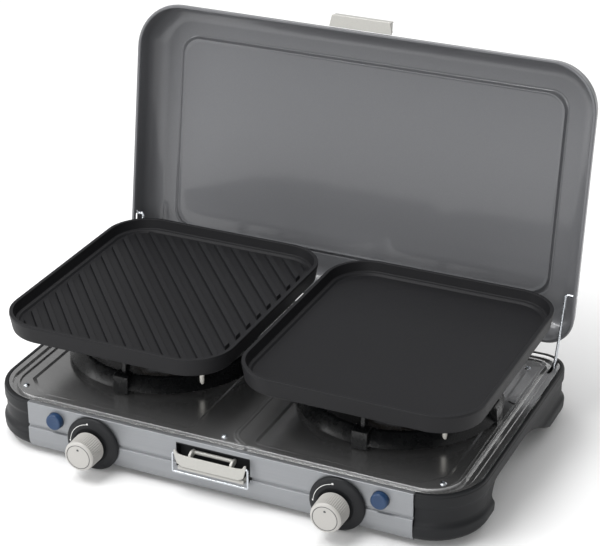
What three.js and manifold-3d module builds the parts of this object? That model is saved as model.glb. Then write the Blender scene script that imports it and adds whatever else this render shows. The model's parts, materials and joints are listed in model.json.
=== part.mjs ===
// A two-burner camping stove with two griddles, standing open. Millimetres, +Z up, +X to the user's
// right, the knobs face -Y. The origin is the middle of the whole object's footprint, on the floor.
import * as THREE from "three";
import { mergeVertices } from "three/addons/utils/BufferGeometryUtils.js";
import Module from "manifold-3d";

const wasm = await Module();
wasm.setup();

// ---- Driving dimensions -------------------------------------------------------------------------
const GAP = 0.4; // air between neighbouring pieces

// The base
const BASE_WIDTH = 606; // over the two black side caps
const BASE_DEPTH = 366; // front panel face to rear panel face
const BASE_CORNER = 66; // plan radius of the base's front corners
const BASE_REAR_CORNER = 36;
const FOOT_HEIGHT = 7; // rubber pads under the caps
const RIM_Z = 66.5; // top edge of the caps
const CAP_WALL = 3.4;
const CAP_LIP = 6; // width of the cap's top edge
const CAP_SKIRT = 15; // height of the cap between its feet
const CAP_FLARE = 4; // the feet stand out this far
const FOOT_BAND = 24; // height of the flared part of a foot
const FRONT_FOOT_LENGTH = 86;
const REAR_FOOT_LENGTH = 92;

// The front panel
const CAP_REACH = 63.5; // how far each cap reaches in along the front
const PANEL_HALF = BASE_WIDTH / 2 - CAP_REACH;
const PANEL_TOP = RIM_Z + 0.7;
const PANEL_WALL = 1.6;
const GROOVE_Z = 36.6;
const GROOVE_HEIGHT = 4;
const GROOVE_DEPTH = 1.6;

// The pressed hob
const SHEET = 1.2;
const FLANGE_Z = RIM_Z - 0.2;
const FLANGE_WIDTH = 7;
const CHANNEL_Z = RIM_Z - 2.9;
const BEAD_Z = RIM_Z + 2.5;
const HOB_Z = RIM_Z + 1; // cooking floor
const BEAD_INSET_SIDE = 18.5;
const BEAD_INSET_FRONT = 5.5;
const RECESS_DROP = 0.5; // shallow field around each burner
const SCREW_INSET = 42; // hob screws, in from the base's sides

// Burners and griddles
const GRIDDLE_GAP = 14.2; // between the two griddles
const GRIDDLE_SIDE = 8.9; // from a griddle's outer edge to the base's side
const GRIDDLE_FRONT = 18.15; // from the base's front to the griddles
const GRIDDLE_BACK = 19.15; // from the griddles to the base's rear
const GRIDDLE_WIDTH = (BASE_WIDTH - GRIDDLE_GAP) / 2 - GRIDDLE_SIDE;
const GRIDDLE_DEPTH = BASE_DEPTH - GRIDDLE_FRONT - GRIDDLE_BACK;
const BURNER_X = (GRIDDLE_WIDTH + GRIDDLE_GAP) / 2;
const BURNER_Y = GRIDDLE_FRONT + GRIDDLE_DEPTH / 2;
const BURNER_R = 42;
const BURNER_HOLE_R = BURNER_R + 6;
const SUPPORT_RING_R = 110;
const SUPPORT_RING_Z = HOB_Z + 5.5;
const SUPPORT_RING_HEIGHT = 15;
const SUPPORT_FOOT_R = SUPPORT_RING_R + 8;
const SUPPORT_TOP_Z = HOB_Z + 67.9; // top of the arms, under the griddle's floor
const ELECTRODE_ACROSS = 84; // from the burner's centre, to the right
const ELECTRODE_FORWARD = 77; // from the burner's centre, to the front
const ELECTRODE_R = 2.8;
const ELECTRODE_CLEAR = 9; // from the hob up to the ceramic
const ELECTRODE_LENGTH = 22;
const GRIDDLE_CORNER = 54;
const GRIDDLE_HEIGHT = 24.9;
const GRIDDLE_RIM_WIDTH = 5;
const GRIDDLE_FLOOR_DROP = 15; // from the rim down to the cooking surface
const GRIDDLE_FLOOR = 4.5; // thickness of the cast floor
const GRIDDLE_POCKET_INSET = 14; // the underside is hollow inside this edge
const GRIDDLE_RIM_Z = SUPPORT_TOP_Z + GAP + GRIDDLE_FLOOR + GRIDDLE_FLOOR_DROP;
const RIB_PITCH = 14.2;
const RIB_WIDTH = 6;
const RIB_HEIGHT = 2.4;

// The lid
const LID_WIDTH = BASE_WIDTH - 4;
const LID_DEPTH = BASE_DEPTH - 22;
const LID_HEIGHT = 42;
const LID_CORNER = 61;
const LID_REAR_CORNER = 34;
const LID_WALL = 1.2;
const LID_DRAFT = 4; // how far the walls lean in over the height
const LID_FILLET = 24; // between the walls and the panel
const LID_TILT = 8.5; // degrees it leans back
const LID_FOOT_Y = BASE_DEPTH - 11; // lower rim of the open lid
const LID_FOOT_Z = HOB_Z + 16.2;
const LID_RIM_ROLL = 4;
const LID_BEAD_INSET = 46;
const LID_BEAD_WIDTH = 5; // the slope up to the raised middle of the panel
const LID_BEAD_DEPTH = 2;
const PIVOT_UP = 63; // from the lid's lower rim to the stay's pivot
const PIVOT_BACK = 7; // behind the rim plane
const STAY_R = 1.8;
const STAY_X = BASE_WIDTH / 2 - 17;
const STAY_FOOT_Y = BASE_DEPTH - 22; // where the stay passes through the hob
const STAY_SLIDE = 16; // travel along the slot
const CATCH_WIDTH = 82;
const CATCH_HEIGHT = 15;

// Controls
const KNOB_X = BURNER_X + 1.9;
const KNOB_Z = 34.5;
const KNOB_R = 19;
const BEZEL_R = KNOB_R + 14;
const BEZEL_DEPTH = 9;
const KNOB_FRONT_Y = -37;
const KNOB_BACK_Y = -11;
const STEM_R = 3;
const STEM_CLEAR = 0.5;
const BUTTON_X = KNOB_X + 49.7;
const BUTTON_Z = RIM_Z - 15;
const BUTTON_R = 9.8;
const BUTTON_PROUD = 7.5;
const BUTTON_TRAVEL = 4;
const BUTTON_CLEAR = 0.5;
const LATCH_WIDTH = 90;
const LATCH_AXLE_Z = 33;
const LATCH_AXLE_Y = -5;
const LATCH_TOP_Z = 55;
const LATCH_PLATE = 2.2;
const BAIL_R = 1.3;
const BAIL_PIVOT_Z = 52;
const BAIL_DROP = 24;
const INLET_X = 34.5 - PANEL_HALF; // behind the left burner, inside the left cap
const INLET_Z = 40;

// Smaller parts of the base and the hob.
const PAD_R = 10; // rubber pads under the feet
const PAD_INSET = 34;
const PAD_FRONT = 46;
const PAD_REAR = 48;
const VALVE_HOLE_R = 7;
const WINDOW_CLEAR = 3; // beside the latch plate
const WINDOW_LOW_Z = 29;
const WINDOW_HIGH_Z = 62;
const VENT_PITCH = 34;
const VENT_LENGTH = 22;
const VENT_Z = 34;
const VENT_HEIGHT = 4;
const INLET_HOLE_R = 7.5;
const TRAY_REACH = 30; // past the front panel's ends
const TRAY_INSET = 16; // behind the front and before the rear
const FIELD_HALF = 118; // shallow field round each burner
const FIELD_FRONT = 30;
const FIELD_REAR = 42;
const FIELD_CHAMFER = 28;
const SLOT_WIDTH = 6; // where the stays' feet slide
const SCREW_R = 4;
const CROSS_LENGTH = 5.2;
const CROSS_WIDTH = 1;
const THROAT_R = 9; // mixing tube of a burner
const BORE_R = 6.5;
const BRACKET_WIDTH = 22;
const BRACKET_SHEET = 2;
const ARM_SHEET = 5; // arms of the pan supports
const ARM_INNER_R = 40;
const SUPPORT_FOOT_WIDTH = 20;
const RIB_MARGIN = 12; // from the rim's inner edge to the ends of the ribs
const STAY_END_Z = 46; // hooked ends of the stays, under the hob
const STAY_HOOK = 10;

// Smaller parts of the controls, the gas line and the latch.
const KNOB_DOT_R = 1.3;
const KNOB_DOT_UP = 9; // above the knob's axis
const VALVE_HALF = 9;
const VALVE_FRONT_Y = 12;
const VALVE_REAR_Y = 36;
const BUTTON_STEM_R = 4;
const BARREL_R = 8.5;
const BARREL_REAR_Y = 44;
const LEAD_R = 1.1;
const RAIL_R = 4;
const RAIL_Y = 30;
const RAIL_Z = KNOB_Z - 14;
const NOZZLE_BORE_R = 1.8;
const LATCH_BAR_R = 2.6;
const PRONG_IN = 24; // prongs behind the top of the latch plate
const PRONG_OUT = 28;
const CLIP_IN = 30; // clips round the hinge bar
const CLIP_OUT = 34;

// ---- Finishes -----------------------------------------------------------------------------------
const finish = (color, metalness, roughness) =>
  new THREE.MeshStandardMaterial({ color, metalness, roughness });
const STAINLESS = finish(0xa6a7aa, 1, 0.32);
const SILVER_PAINT = finish(0x9a9ca1, 0.6, 0.4);
const ANODISED = finish(0xa4a6aa, 0.7, 0.45);
const BLACK_PLASTIC = finish(0x2e2f31, 0, 0.55);
const NON_STICK = finish(0x2f2f32, 0, 0.5);
const ENAMEL = finish(0x17181a, 0, 0.25);
const GREY_PLASTIC = finish(0xcfcdc8, 0, 0.45);
const BLUE_PLASTIC = finish(0x2c4d86, 0, 0.4);
const BRASS = finish(0xb58a3d, 1, 0.35);
const ALLOY = finish(0x8b8d90, 0.8, 0.5);
const WIRE = finish(0xc6c8cb, 1, 0.25);
const RUBBER = finish(0x1c1c1d, 0, 0.8);
const CERAMIC = finish(0xe6e1d6, 0, 0.5);
const SEAL_RED = finish(0x8e2a22, 0, 0.6);
const GALVANISED = finish(0x8f9295, 0.8, 0.5);

// ---- Solids -------------------------------------------------------------------------------------
function toSolid(geometry) {
  const bare = geometry.clone();
  bare.deleteAttribute("normal");
  bare.deleteAttribute("uv");
  const merged = mergeVertices(bare, 1e-4);
  return new wasm.Manifold(
    new wasm.Mesh({
      numProp: 3,
      vertProperties: new Float32Array(merged.attributes.position.array),
      triVerts: new Uint32Array(merged.index.array),
    }),
  );
}

function toGeometry(solid) {
  const mesh = solid.getMesh();
  return new THREE.BufferGeometry()
    .setAttribute("position", new THREE.BufferAttribute(mesh.vertProperties, 3))
    .setIndex(new THREE.BufferAttribute(mesh.triVerts, 1));
}

const join = (...geometries) =>
  toGeometry(geometries.map(toSolid).reduce((all, next) => all.add(next)));

const cut = (geometry, ...tools) =>
  toGeometry(tools.map(toSolid).reduce((left, tool) => left.subtract(tool), toSolid(geometry)));

const common = (a, b) => toGeometry(toSolid(a).intersect(toSolid(b)));

// A box from its lowest corner to its highest.
function block(x0, x1, y0, y1, z0, z1) {
  return new THREE.BoxGeometry(x1 - x0, y1 - y0, z1 - z0).translate(
    (x0 + x1) / 2,
    (y0 + y1) / 2,
    (z0 + z1) / 2,
  );
}

// A round bar between two points.
function bar(from, to, radius, sides = 16, endRadius = radius) {
  const a = new THREE.Vector3(...from);
  const b = new THREE.Vector3(...to);
  const along = b.clone().sub(a);
  const turn = new THREE.Quaternion().setFromUnitVectors(
    new THREE.Vector3(0, 1, 0),
    along.clone().normalize(),
  );
  return new THREE.CylinderGeometry(endRadius, radius, along.length(), sides)
    .applyQuaternion(turn)
    .translate((a.x + b.x) / 2, (a.y + b.y) / 2, (a.z + b.z) / 2);
}

// A profile of [radius, height] turned about the Z axis.
function turned(profile, sides) {
  const points = profile.map(([r, z]) => new THREE.Vector2(r, z));
  return new THREE.LatheGeometry(points, sides).rotateX(Math.PI / 2);
}

// A profile of [radius, distance in front of the panel] turned about an axis along -Y.
function turnedToFront(profile, sides, x, z) {
  return turned(profile, sides).rotateX(Math.PI / 2).translate(x, 0, z);
}

// Wire or tube along straight runs whose bends are rounded.
function wire(points, radius, bend, sides = 8) {
  const corners = points.map((p) => new THREE.Vector3(...p));
  const path = new THREE.CurvePath();
  let from = corners[0];
  for (let i = 1; i < corners.length - 1; i++) {
    const before = corners[i].clone().sub(corners[i - 1]).setLength(bend);
    const after = corners[i + 1].clone().sub(corners[i]).setLength(bend);
    const start = corners[i].clone().sub(before);
    const end = corners[i].clone().add(after);
    path.add(new THREE.LineCurve3(from, start));
    path.add(new THREE.QuadraticBezierCurve3(start, corners[i], end));
    from = end;
  }
  path.add(new THREE.LineCurve3(from, corners.at(-1)));
  const circle = new THREE.Shape().absarc(0, 0, radius, 0, 2 * Math.PI);
  const steps = Math.min(40, 2 + 7 * (points.length - 1));
  return new THREE.ExtrudeGeometry(circle, {
    steps,
    curveSegments: sides / 2,
    extrudePath: path,
    bevelEnabled: false,
  });
}

// A rounded rectangle as a ring of points: half width, front and rear edge, front and rear radius.
const CORNER_STEPS = 5;
function outline(half, front, rear, frontRadius, rearRadius = frontRadius) {
  const corners = [
    [half - frontRadius, front + frontRadius, frontRadius, -90],
    [half - rearRadius, rear - rearRadius, rearRadius, 0],
    [-half + rearRadius, rear - rearRadius, rearRadius, 90],
    [-half + frontRadius, front + frontRadius, frontRadius, 180],
  ];
  const points = [];
  for (const [x, y, radius, start] of corners)
    for (let i = 0; i <= CORNER_STEPS; i++) {
      const angle = THREE.MathUtils.degToRad(start + (90 * i) / CORNER_STEPS);
      points.push([x + radius * Math.cos(angle), y + radius * Math.sin(angle)]);
    }
  return points;
}

// A closed surface over rings of equal length, each { at: outline, z }, capped at both ends.
function loft(rings) {
  const count = rings[0].at.length;
  const position = rings.flatMap(({ at, z }) => at.flatMap(([x, y]) => [x, y, z]));
  const centre = ({ at, z }) => [
    at.reduce((sum, p) => sum + p[0], 0) / count,
    at.reduce((sum, p) => sum + p[1], 0) / count,
    z,
  ];
  position.push(...centre(rings[0]), ...centre(rings.at(-1)));
  const first = rings.length * count;
  const last = first + 1;
  const faces = [];
  for (let j = 0; j < count; j++) {
    const next = (j + 1) % count;
    faces.push(first, next, j);
    for (let i = 0; i < rings.length - 1; i++) {
      const low = i * count;
      const high = low + count;
      faces.push(low + j, low + next, high + next, low + j, high + next, high + j);
    }
    const top = (rings.length - 1) * count;
    faces.push(last, top + j, top + next);
  }
  return new THREE.BufferGeometry()
    .setAttribute("position", new THREE.Float32BufferAttribute(position, 3))
    .setIndex(faces);
}

const stove = new THREE.Group();

function piece(name, geometry, material, parent = stove) {
  const mesh = new THREE.Mesh(geometry, material);
  mesh.name = name;
  parent.add(mesh);
  return mesh;
}

const SIDES = [
  ["left", -1],
  ["right", 1],
];

// ---- Base: caps, feet, panels and the bottom tray -----------------------------------------------
const halfBase = BASE_WIDTH / 2;
const baseAt = (inset) =>
  outline(
    halfBase - inset,
    inset,
    BASE_DEPTH - inset,
    Math.max(2, BASE_CORNER - inset),
    Math.max(2, BASE_REAR_CORNER - inset),
  );

// The ring that both caps are cut from: a lip at the top, a wall, and a band that flares at the foot.
function capRing() {
  const bandTop = FOOT_HEIGHT + FOOT_BAND;
  const outside = loft([
    { at: baseAt(CAP_FLARE + 3), z: FOOT_HEIGHT },
    { at: baseAt(0.8), z: FOOT_HEIGHT + 5 },
    { at: baseAt(0), z: bandTop - 5 },
    { at: baseAt(CAP_FLARE), z: bandTop },
    { at: baseAt(CAP_FLARE), z: RIM_Z - CAP_SKIRT - 4 },
    { at: baseAt(2), z: RIM_Z - CAP_SKIRT },
    { at: baseAt(2), z: RIM_Z - 1.5 },
    { at: baseAt(3.5), z: RIM_Z },
  ]);
  const inside = loft([
    { at: baseAt(CAP_FLARE + CAP_WALL), z: FOOT_HEIGHT + CAP_WALL },
    { at: baseAt(CAP_FLARE + CAP_WALL), z: RIM_Z - 6 },
    { at: baseAt(CAP_LIP + 1), z: RIM_Z - 4 },
    { at: baseAt(CAP_LIP + 1), z: RIM_Z + 1 },
  ]);
  return cut(outside, inside);
}

// The arch between a cap's feet, as a prism across the base.
function capArch() {
  const foot = FRONT_FOOT_LENGTH;
  const rear = BASE_DEPTH - REAR_FOOT_LENGTH;
  const top = RIM_Z - CAP_SKIRT;
  const shape = new THREE.Shape()
    .moveTo(foot, -1)
    .lineTo(foot - 2, FOOT_HEIGHT + 16)
    .quadraticCurveTo(foot, top, foot + 26, top)
    .lineTo(rear - 70, top)
    .quadraticCurveTo(rear - 30, top - 4, rear, FOOT_HEIGHT + 10)
    .quadraticCurveTo(rear + 18, FOOT_HEIGHT + 1, rear + 34, -1);
  return new THREE.ExtrudeGeometry(shape, {
    depth: BASE_WIDTH + 2,
    bevelEnabled: false,
    curveSegments: 6,
  })
    .rotateY(Math.PI / 2)
    .rotateX(Math.PI / 2)
    .translate(-halfBase - 1, 0, 0);
}

function buildCaps() {
  const ring = cut(capRing(), capArch());
  for (const [side, sign] of SIDES) {
    const keep = block(
      Math.min(sign * (PANEL_HALF + GAP), sign * (halfBase + 5)),
      Math.max(sign * (PANEL_HALF + GAP), sign * (halfBase + 5)),
      -5,
      BASE_DEPTH + 5,
      -5,
      RIM_Z + 5,
    );
    piece("side_cap_" + side, common(ring, keep), BLACK_PLASTIC);
    for (const [end, y] of [
      ["front", PAD_FRONT],
      ["rear", BASE_DEPTH - PAD_REAR],
    ]) {
      const pad = turned(
        [
          [0, 0],
          [PAD_R - 1.5, 0],
          [PAD_R, 1.5],
          [PAD_R, FOOT_HEIGHT - GAP],
          [0, FOOT_HEIGHT - GAP],
        ],
        16,
      );
      pad.translate(sign * (halfBase - PAD_INSET), y, 0);
      piece("foot_" + end + "_" + side, pad, RUBBER);
    }
  }
}

// Section of the front panel in the Y-Z plane, drawn along its face and back along its inside.
function panelFace(back) {
  const low = GROOVE_Z - GROOVE_HEIGHT / 2;
  const high = GROOVE_Z + GROOVE_HEIGHT / 2;
  return [
    [7 + back, FOOT_HEIGHT + back],
    [2.5 + back, FOOT_HEIGHT + 1.5 + back],
    [0.2 + back, FOOT_HEIGHT + 6],
    [-1 + back, FOOT_HEIGHT + 14],
    [-1 + back, low],
    [GROOVE_DEPTH - 0.6 + back, low + 0.8],
    [GROOVE_DEPTH - 0.6 + back, high - 0.8],
    [back, high],
    [back, PANEL_TOP - 1.2 - back],
    [0.6 + back, PANEL_TOP - back],
  ];
}

function buildFrontPanel() {
  const face = panelFace(0);
  const inside = panelFace(PANEL_WALL).reverse();
  const lip = [
    [6, PANEL_TOP],
    [6, PANEL_TOP - PANEL_WALL],
  ];
  const points = [...face, ...lip, ...inside].map(([y, z]) => new THREE.Vector2(y, z));
  const section = new THREE.Shape(points);
  const panel = new THREE.ExtrudeGeometry(section, {
    depth: 2 * PANEL_HALF,
    bevelEnabled: false,
  })
    .rotateY(Math.PI / 2)
    .rotateX(Math.PI / 2)
    .translate(-PANEL_HALF, 0, 0);
  const holes = SIDES.flatMap(([, sign]) => [
    bar([sign * KNOB_X, -5, KNOB_Z], [sign * KNOB_X, 8, KNOB_Z], VALVE_HOLE_R, 20),
    bar([sign * BUTTON_X, -5, BUTTON_Z], [sign * BUTTON_X, 5, BUTTON_Z], BUTTON_R + 0.5, 24),
  ]);
  const windowHalf = LATCH_WIDTH / 2 + WINDOW_CLEAR;
  const window = block(-windowHalf, windowHalf, -5, 4, WINDOW_LOW_Z, WINDOW_HIGH_Z);
  piece("front_panel", cut(panel, ...holes, window), ANODISED);
}

function buildRearPanel() {
  const face = block(
    -PANEL_HALF,
    PANEL_HALF,
    BASE_DEPTH - 3.4,
    BASE_DEPTH - 1.8,
    FOOT_HEIGHT + 8,
    RIM_Z - 0.5,
  );
  const lip = block(-PANEL_HALF, PANEL_HALF, BASE_DEPTH - 7, BASE_DEPTH - 1.8, RIM_Z - 2, RIM_Z);
  const vents = [];
  for (let i = -4; i <= 4; i++) {
    const left = i * VENT_PITCH - VENT_LENGTH / 2;
    const right = left + VENT_LENGTH;
    vents.push(block(left, right, BASE_DEPTH - 9, BASE_DEPTH + 2, VENT_Z, VENT_Z + VENT_HEIGHT));
  }
  const inlet = bar(
    [INLET_X, BASE_DEPTH - 9, INLET_Z],
    [INLET_X, BASE_DEPTH + 2, INLET_Z],
    INLET_HOLE_R,
    20,
  );
  piece("rear_panel", cut(join(face, lip), ...vents, inlet), BLACK_PLASTIC);
}

function buildBottomTray() {
  const half = PANEL_HALF + TRAY_REACH;
  const front = TRAY_INSET;
  const rear = BASE_DEPTH - TRAY_INSET;
  const floor = FOOT_HEIGHT + CAP_WALL + GAP;
  const tray = loft([
    { at: outline(half - 4, front + 4, rear - 4, 12), z: floor },
    { at: outline(half, front, rear, 14), z: floor + 5 },
    { at: outline(half, front, rear, 14), z: CHANNEL_Z - SHEET - 6 },
    { at: outline(half - SHEET, front + SHEET, rear - SHEET, 13), z: CHANNEL_Z - SHEET - 6 },
    { at: outline(half - SHEET, front + SHEET, rear - SHEET, 13), z: floor + 5.6 },
    { at: outline(half - 4.5, front + 4.5, rear - 4.5, 12), z: floor + SHEET },
  ]);
  const openFront = block(-PANEL_HALF, PANEL_HALF, front - 5, front + 5, 15, RIM_Z);
  const inlet = bar([INLET_X, rear - 5, INLET_Z], [INLET_X, rear + 5, INLET_Z], INLET_HOLE_R + 0.5, 20);
  piece("bottom_tray", cut(tray, openFront, inlet), GALVANISED);
}

// ---- Hob ----------------------------------------------------------------------------------------
const hobOuter = CAP_LIP + 1 + GAP;
function hobAt(sideInset, frontInset) {
  return outline(
    halfBase - hobOuter - sideInset,
    hobOuter + frontInset,
    BASE_DEPTH - hobOuter - GAP - sideInset,
    Math.max(3, BASE_CORNER - hobOuter - sideInset),
    Math.max(3, BASE_REAR_CORNER - hobOuter - sideInset),
  );
}

// The shallow field around a burner: a rectangle with cut corners.
function burnerField(sign) {
  const half = FIELD_HALF;
  const front = FIELD_FRONT;
  const rear = BASE_DEPTH - FIELD_REAR;
  const chamfer = FIELD_CHAMFER;
  const x = sign * (BURNER_X + 1);
  const shape = new THREE.Shape([
    new THREE.Vector2(x - half + chamfer, front),
    new THREE.Vector2(x + half - chamfer, front),
    new THREE.Vector2(x + half, front + chamfer),
    new THREE.Vector2(x + half, rear - chamfer),
    new THREE.Vector2(x + half - chamfer, rear),
    new THREE.Vector2(x - half + chamfer, rear),
    new THREE.Vector2(x - half, rear - chamfer),
    new THREE.Vector2(x - half, front + chamfer),
  ]);
  return new THREE.ExtrudeGeometry(shape, { depth: 5, bevelEnabled: false });
}

function buildHob() {
  const profile = [
    [BEAD_INSET_SIDE + 3, BEAD_INSET_FRONT + 3, HOB_Z],
    [BEAD_INSET_SIDE, BEAD_INSET_FRONT, BEAD_Z],
    [BEAD_INSET_SIDE - 2, BEAD_INSET_FRONT - 1.3, BEAD_Z - 0.3],
    [FLANGE_WIDTH + 4, 2.8, CHANNEL_Z],
    [FLANGE_WIDTH, 1.2, FLANGE_Z],
    [0.6, 0.4, FLANGE_Z],
  ];
  const top = profile
    .map(([side, front, z]) => ({ at: hobAt(side, front), z }))
    .reverse();
  const under = profile.map(([side, front, z]) => ({ at: hobAt(side, front), z: z - SHEET }));
  under.at(-1).z = FLANGE_Z - SHEET;
  const edge = { at: hobAt(0, 0), z: FLANGE_Z - SHEET / 2 };
  const sheet = loft([...under, edge, ...top]);
  const wells = SIDES.map(([, sign]) => burnerField(sign).translate(0, 0, HOB_Z - RECESS_DROP));
  const holes = SIDES.flatMap(([, sign]) => {
    const x = sign * STAY_X;
    const slotFront = STAY_FOOT_Y - STAY_SLIDE - 7;
    return [
      bar([sign * BURNER_X, BURNER_Y, 60], [sign * BURNER_X, BURNER_Y, 75], BURNER_HOLE_R, 40),
      block(x - SLOT_WIDTH / 2, x + SLOT_WIDTH / 2, slotFront, STAY_FOOT_Y + 5, 58, 72),
    ];
  });
  piece("hob", cut(sheet, ...wells, ...holes), STAINLESS);
  const screws = [
    ["front_left", SCREW_INSET - halfBase, 33],
    ["front_centre", 3, 24],
    ["front_right", halfBase - SCREW_INSET, 33],
    ["rear_left", SCREW_INSET - halfBase, BASE_DEPTH - 50],
    ["rear_centre", 3, BASE_DEPTH - 36],
    ["rear_right", halfBase - SCREW_INSET, BASE_DEPTH - 50],
  ];
  for (const [where, x, y] of screws) {
    const head = turned(
      [
        [0, GAP],
        [SCREW_R, GAP],
        [SCREW_R - 0.4, 1.5],
        [2, 2.2],
        [0, 2.3],
      ],
      14,
    );
    const long = CROSS_LENGTH / 2;
    const thin = CROSS_WIDTH / 2;
    const slot = block(-long, long, -thin, thin, 1.4, 3);
    const cross = block(-thin, thin, -long, long, 1.4, 3);
    piece("hob_screw_" + where, cut(head, slot, cross).translate(x, y, HOB_Z), STAINLESS);
  }
}

// ---- Burners ------------------------------------------------------------------------------------
function buildBurner(side, sign) {
  const x = sign * BURNER_X;
  const top = HOB_Z + 8.5;
  const cup = turned(
    [
      [0, KNOB_Z - 4.5],
      [14, KNOB_Z - 4.5],
      [18, KNOB_Z + 9.5],
      [BURNER_R, top - 18],
      [BURNER_R, top],
      [BURNER_R - 3, top],
      [BURNER_R - 3, top - 16],
      [14, KNOB_Z + 12.5],
      [11, KNOB_Z + 1.5],
      [0, KNOB_Z + 1.5],
    ],
    28,
  ).translate(x, BURNER_Y, 0);
  const throat = bar([x, BURNER_Y - 6, KNOB_Z + 1.5], [x, 64, KNOB_Z], THROAT_R, 16, 11);
  const bore = bar([x, BURNER_Y, KNOB_Z + 6.5], [x, 60, KNOB_Z], BORE_R, 14);
  const airSlot = block(x - 4, x + 4, 70, 88, KNOB_Z + 5.5, KNOB_Z + 17.5);
  piece("burner_body_" + side, cut(join(cup, throat), bore, airSlot), ALLOY);
  const crown = turned(
    [
      [0, top + 8],
      [BURNER_R - 6, top + 9],
      [BURNER_R + 2, top + 5],
      [BURNER_R + 2, top + GAP],
      [BURNER_R - 1, top + GAP],
      [BURNER_R - 3.6, top + GAP],
      [BURNER_R - 3.6, top - 3],
      [BURNER_R - 6, top - 3],
      [BURNER_R - 6, top + 3],
      [0, top + 4],
    ].reverse(),
    36,
  ).translate(x, BURNER_Y, 0);
  piece("burner_cap_" + side, crown, BRASS);
  const left = x - BRACKET_WIDTH / 2;
  const right = x + BRACKET_WIDTH / 2;
  const sole = FOOT_HEIGHT + 5;
  const shelf = KNOB_Z - 5;
  const web = BURNER_Y + 4 + BRACKET_SHEET;
  const bracket = join(
    block(left, right, BURNER_Y + 4, BURNER_Y + 70, sole, sole + BRACKET_SHEET),
    block(left, right, BURNER_Y + 4, web, sole, shelf),
    block(left, right, BURNER_Y - 4, web, shelf - BRACKET_SHEET, shelf),
  );
  piece("burner_bracket_" + side, bracket, GALVANISED);
  const injector = turned(
    [
      [0, 0],
      [1.4, 0],
      [4, 3],
      [4, 9],
      [6, 9],
      [6, 14],
      [0, 14],
    ],
    12,
  )
    .rotateX(Math.PI / 2)
    .translate(x, 59, KNOB_Z);
  piece("injector_" + side, injector, BRASS);
  const tipX = x + ELECTRODE_ACROSS;
  const tipY = BURNER_Y - ELECTRODE_FORWARD;
  const low = HOB_Z + ELECTRODE_CLEAR;
  const high = low + ELECTRODE_LENGTH;
  const strapY = tipY + ELECTRODE_R + 0.8;
  const electrode = join(
    bar([tipX, tipY, low], [tipX, tipY, high], ELECTRODE_R, 12),
    bar([tipX, tipY, high - 1], [tipX, tipY, high + 7], 0.9, 8),
    block(tipX - 1.5, tipX + 1.5, strapY - 1.2, strapY, HOB_Z + GAP, high - 6),
    block(tipX - 1.5, tipX + 1.5, strapY - 1.2, strapY + 7, HOB_Z + GAP, HOB_Z + GAP + 1),
  );
  piece("electrode_" + side, electrode, CERAMIC);
}

// A ring on four feet with four arms that hold the griddle.
function buildSupport(side, sign) {
  const ring = turned(
    [
      [SUPPORT_RING_R - 6, SUPPORT_RING_Z],
      [SUPPORT_RING_R - 2, SUPPORT_RING_Z],
      [SUPPORT_RING_R, SUPPORT_RING_Z + SUPPORT_RING_HEIGHT],
      [SUPPORT_RING_R - 4, SUPPORT_RING_Z + SUPPORT_RING_HEIGHT],
      [SUPPORT_RING_R - 6, SUPPORT_RING_Z],
    ],
    40,
  );
  const arms = [];
  for (let i = 0; i < 4; i++) {
    const shape = new THREE.Shape([
      new THREE.Vector2(SUPPORT_RING_R - 5, SUPPORT_RING_Z + 2),
      new THREE.Vector2(SUPPORT_RING_R + 2, SUPPORT_RING_Z + 8),
      new THREE.Vector2(SUPPORT_RING_R - 2, SUPPORT_TOP_Z - 14),
      new THREE.Vector2(SUPPORT_RING_R - 14, SUPPORT_TOP_Z),
      new THREE.Vector2(ARM_INNER_R, SUPPORT_TOP_Z),
      new THREE.Vector2(ARM_INNER_R - 2, SUPPORT_TOP_Z - 8),
      new THREE.Vector2(SUPPORT_RING_R - 22, SUPPORT_TOP_Z - 14),
    ]);
    const arm = new THREE.ExtrudeGeometry(shape, { depth: ARM_SHEET, bevelEnabled: false })
      .translate(0, 0, -ARM_SHEET / 2)
      .rotateX(Math.PI / 2);
    const foot = block(
      SUPPORT_RING_R - 5,
      SUPPORT_FOOT_R + 4,
      -SUPPORT_FOOT_WIDTH / 2,
      SUPPORT_FOOT_WIDTH / 2,
      HOB_Z + GAP,
      SUPPORT_RING_Z + SUPPORT_RING_HEIGHT + 2,
    );
    arms.push(join(arm, foot).rotateZ((i * Math.PI) / 2));
  }
  piece(
    "pan_support_" + side,
    join(ring, ...arms).translate(sign * BURNER_X, BURNER_Y, 0),
    ENAMEL,
  );
}

// ---- Griddles -----------------------------------------------------------------------------------
function griddleShell() {
  const half = GRIDDLE_WIDTH / 2;
  const deep = GRIDDLE_DEPTH / 2;
  const at = (inset) => outline(half - inset, inset - deep, deep - inset, GRIDDLE_CORNER - inset);
  const foot = GRIDDLE_RIM_Z - GRIDDLE_HEIGHT;
  const floor = GRIDDLE_RIM_Z - GRIDDLE_FLOOR_DROP;
  const under = floor - GRIDDLE_FLOOR;
  return loft([
    { at: at(GRIDDLE_POCKET_INSET + 4), z: under },
    { at: at(GRIDDLE_POCKET_INSET + 1.5), z: under },
    { at: at(GRIDDLE_POCKET_INSET), z: foot },
    { at: at(9), z: foot },
    { at: at(4), z: foot + 1.6 },
    { at: at(2.2), z: foot + 5 },
    { at: at(0.3), z: GRIDDLE_RIM_Z - 2 },
    { at: at(1), z: GRIDDLE_RIM_Z },
    { at: at(GRIDDLE_RIM_WIDTH), z: GRIDDLE_RIM_Z },
    { at: at(GRIDDLE_RIM_WIDTH + 2), z: floor + 4 },
    { at: at(GRIDDLE_RIM_WIDTH + 6), z: floor },
  ]);
}

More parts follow.
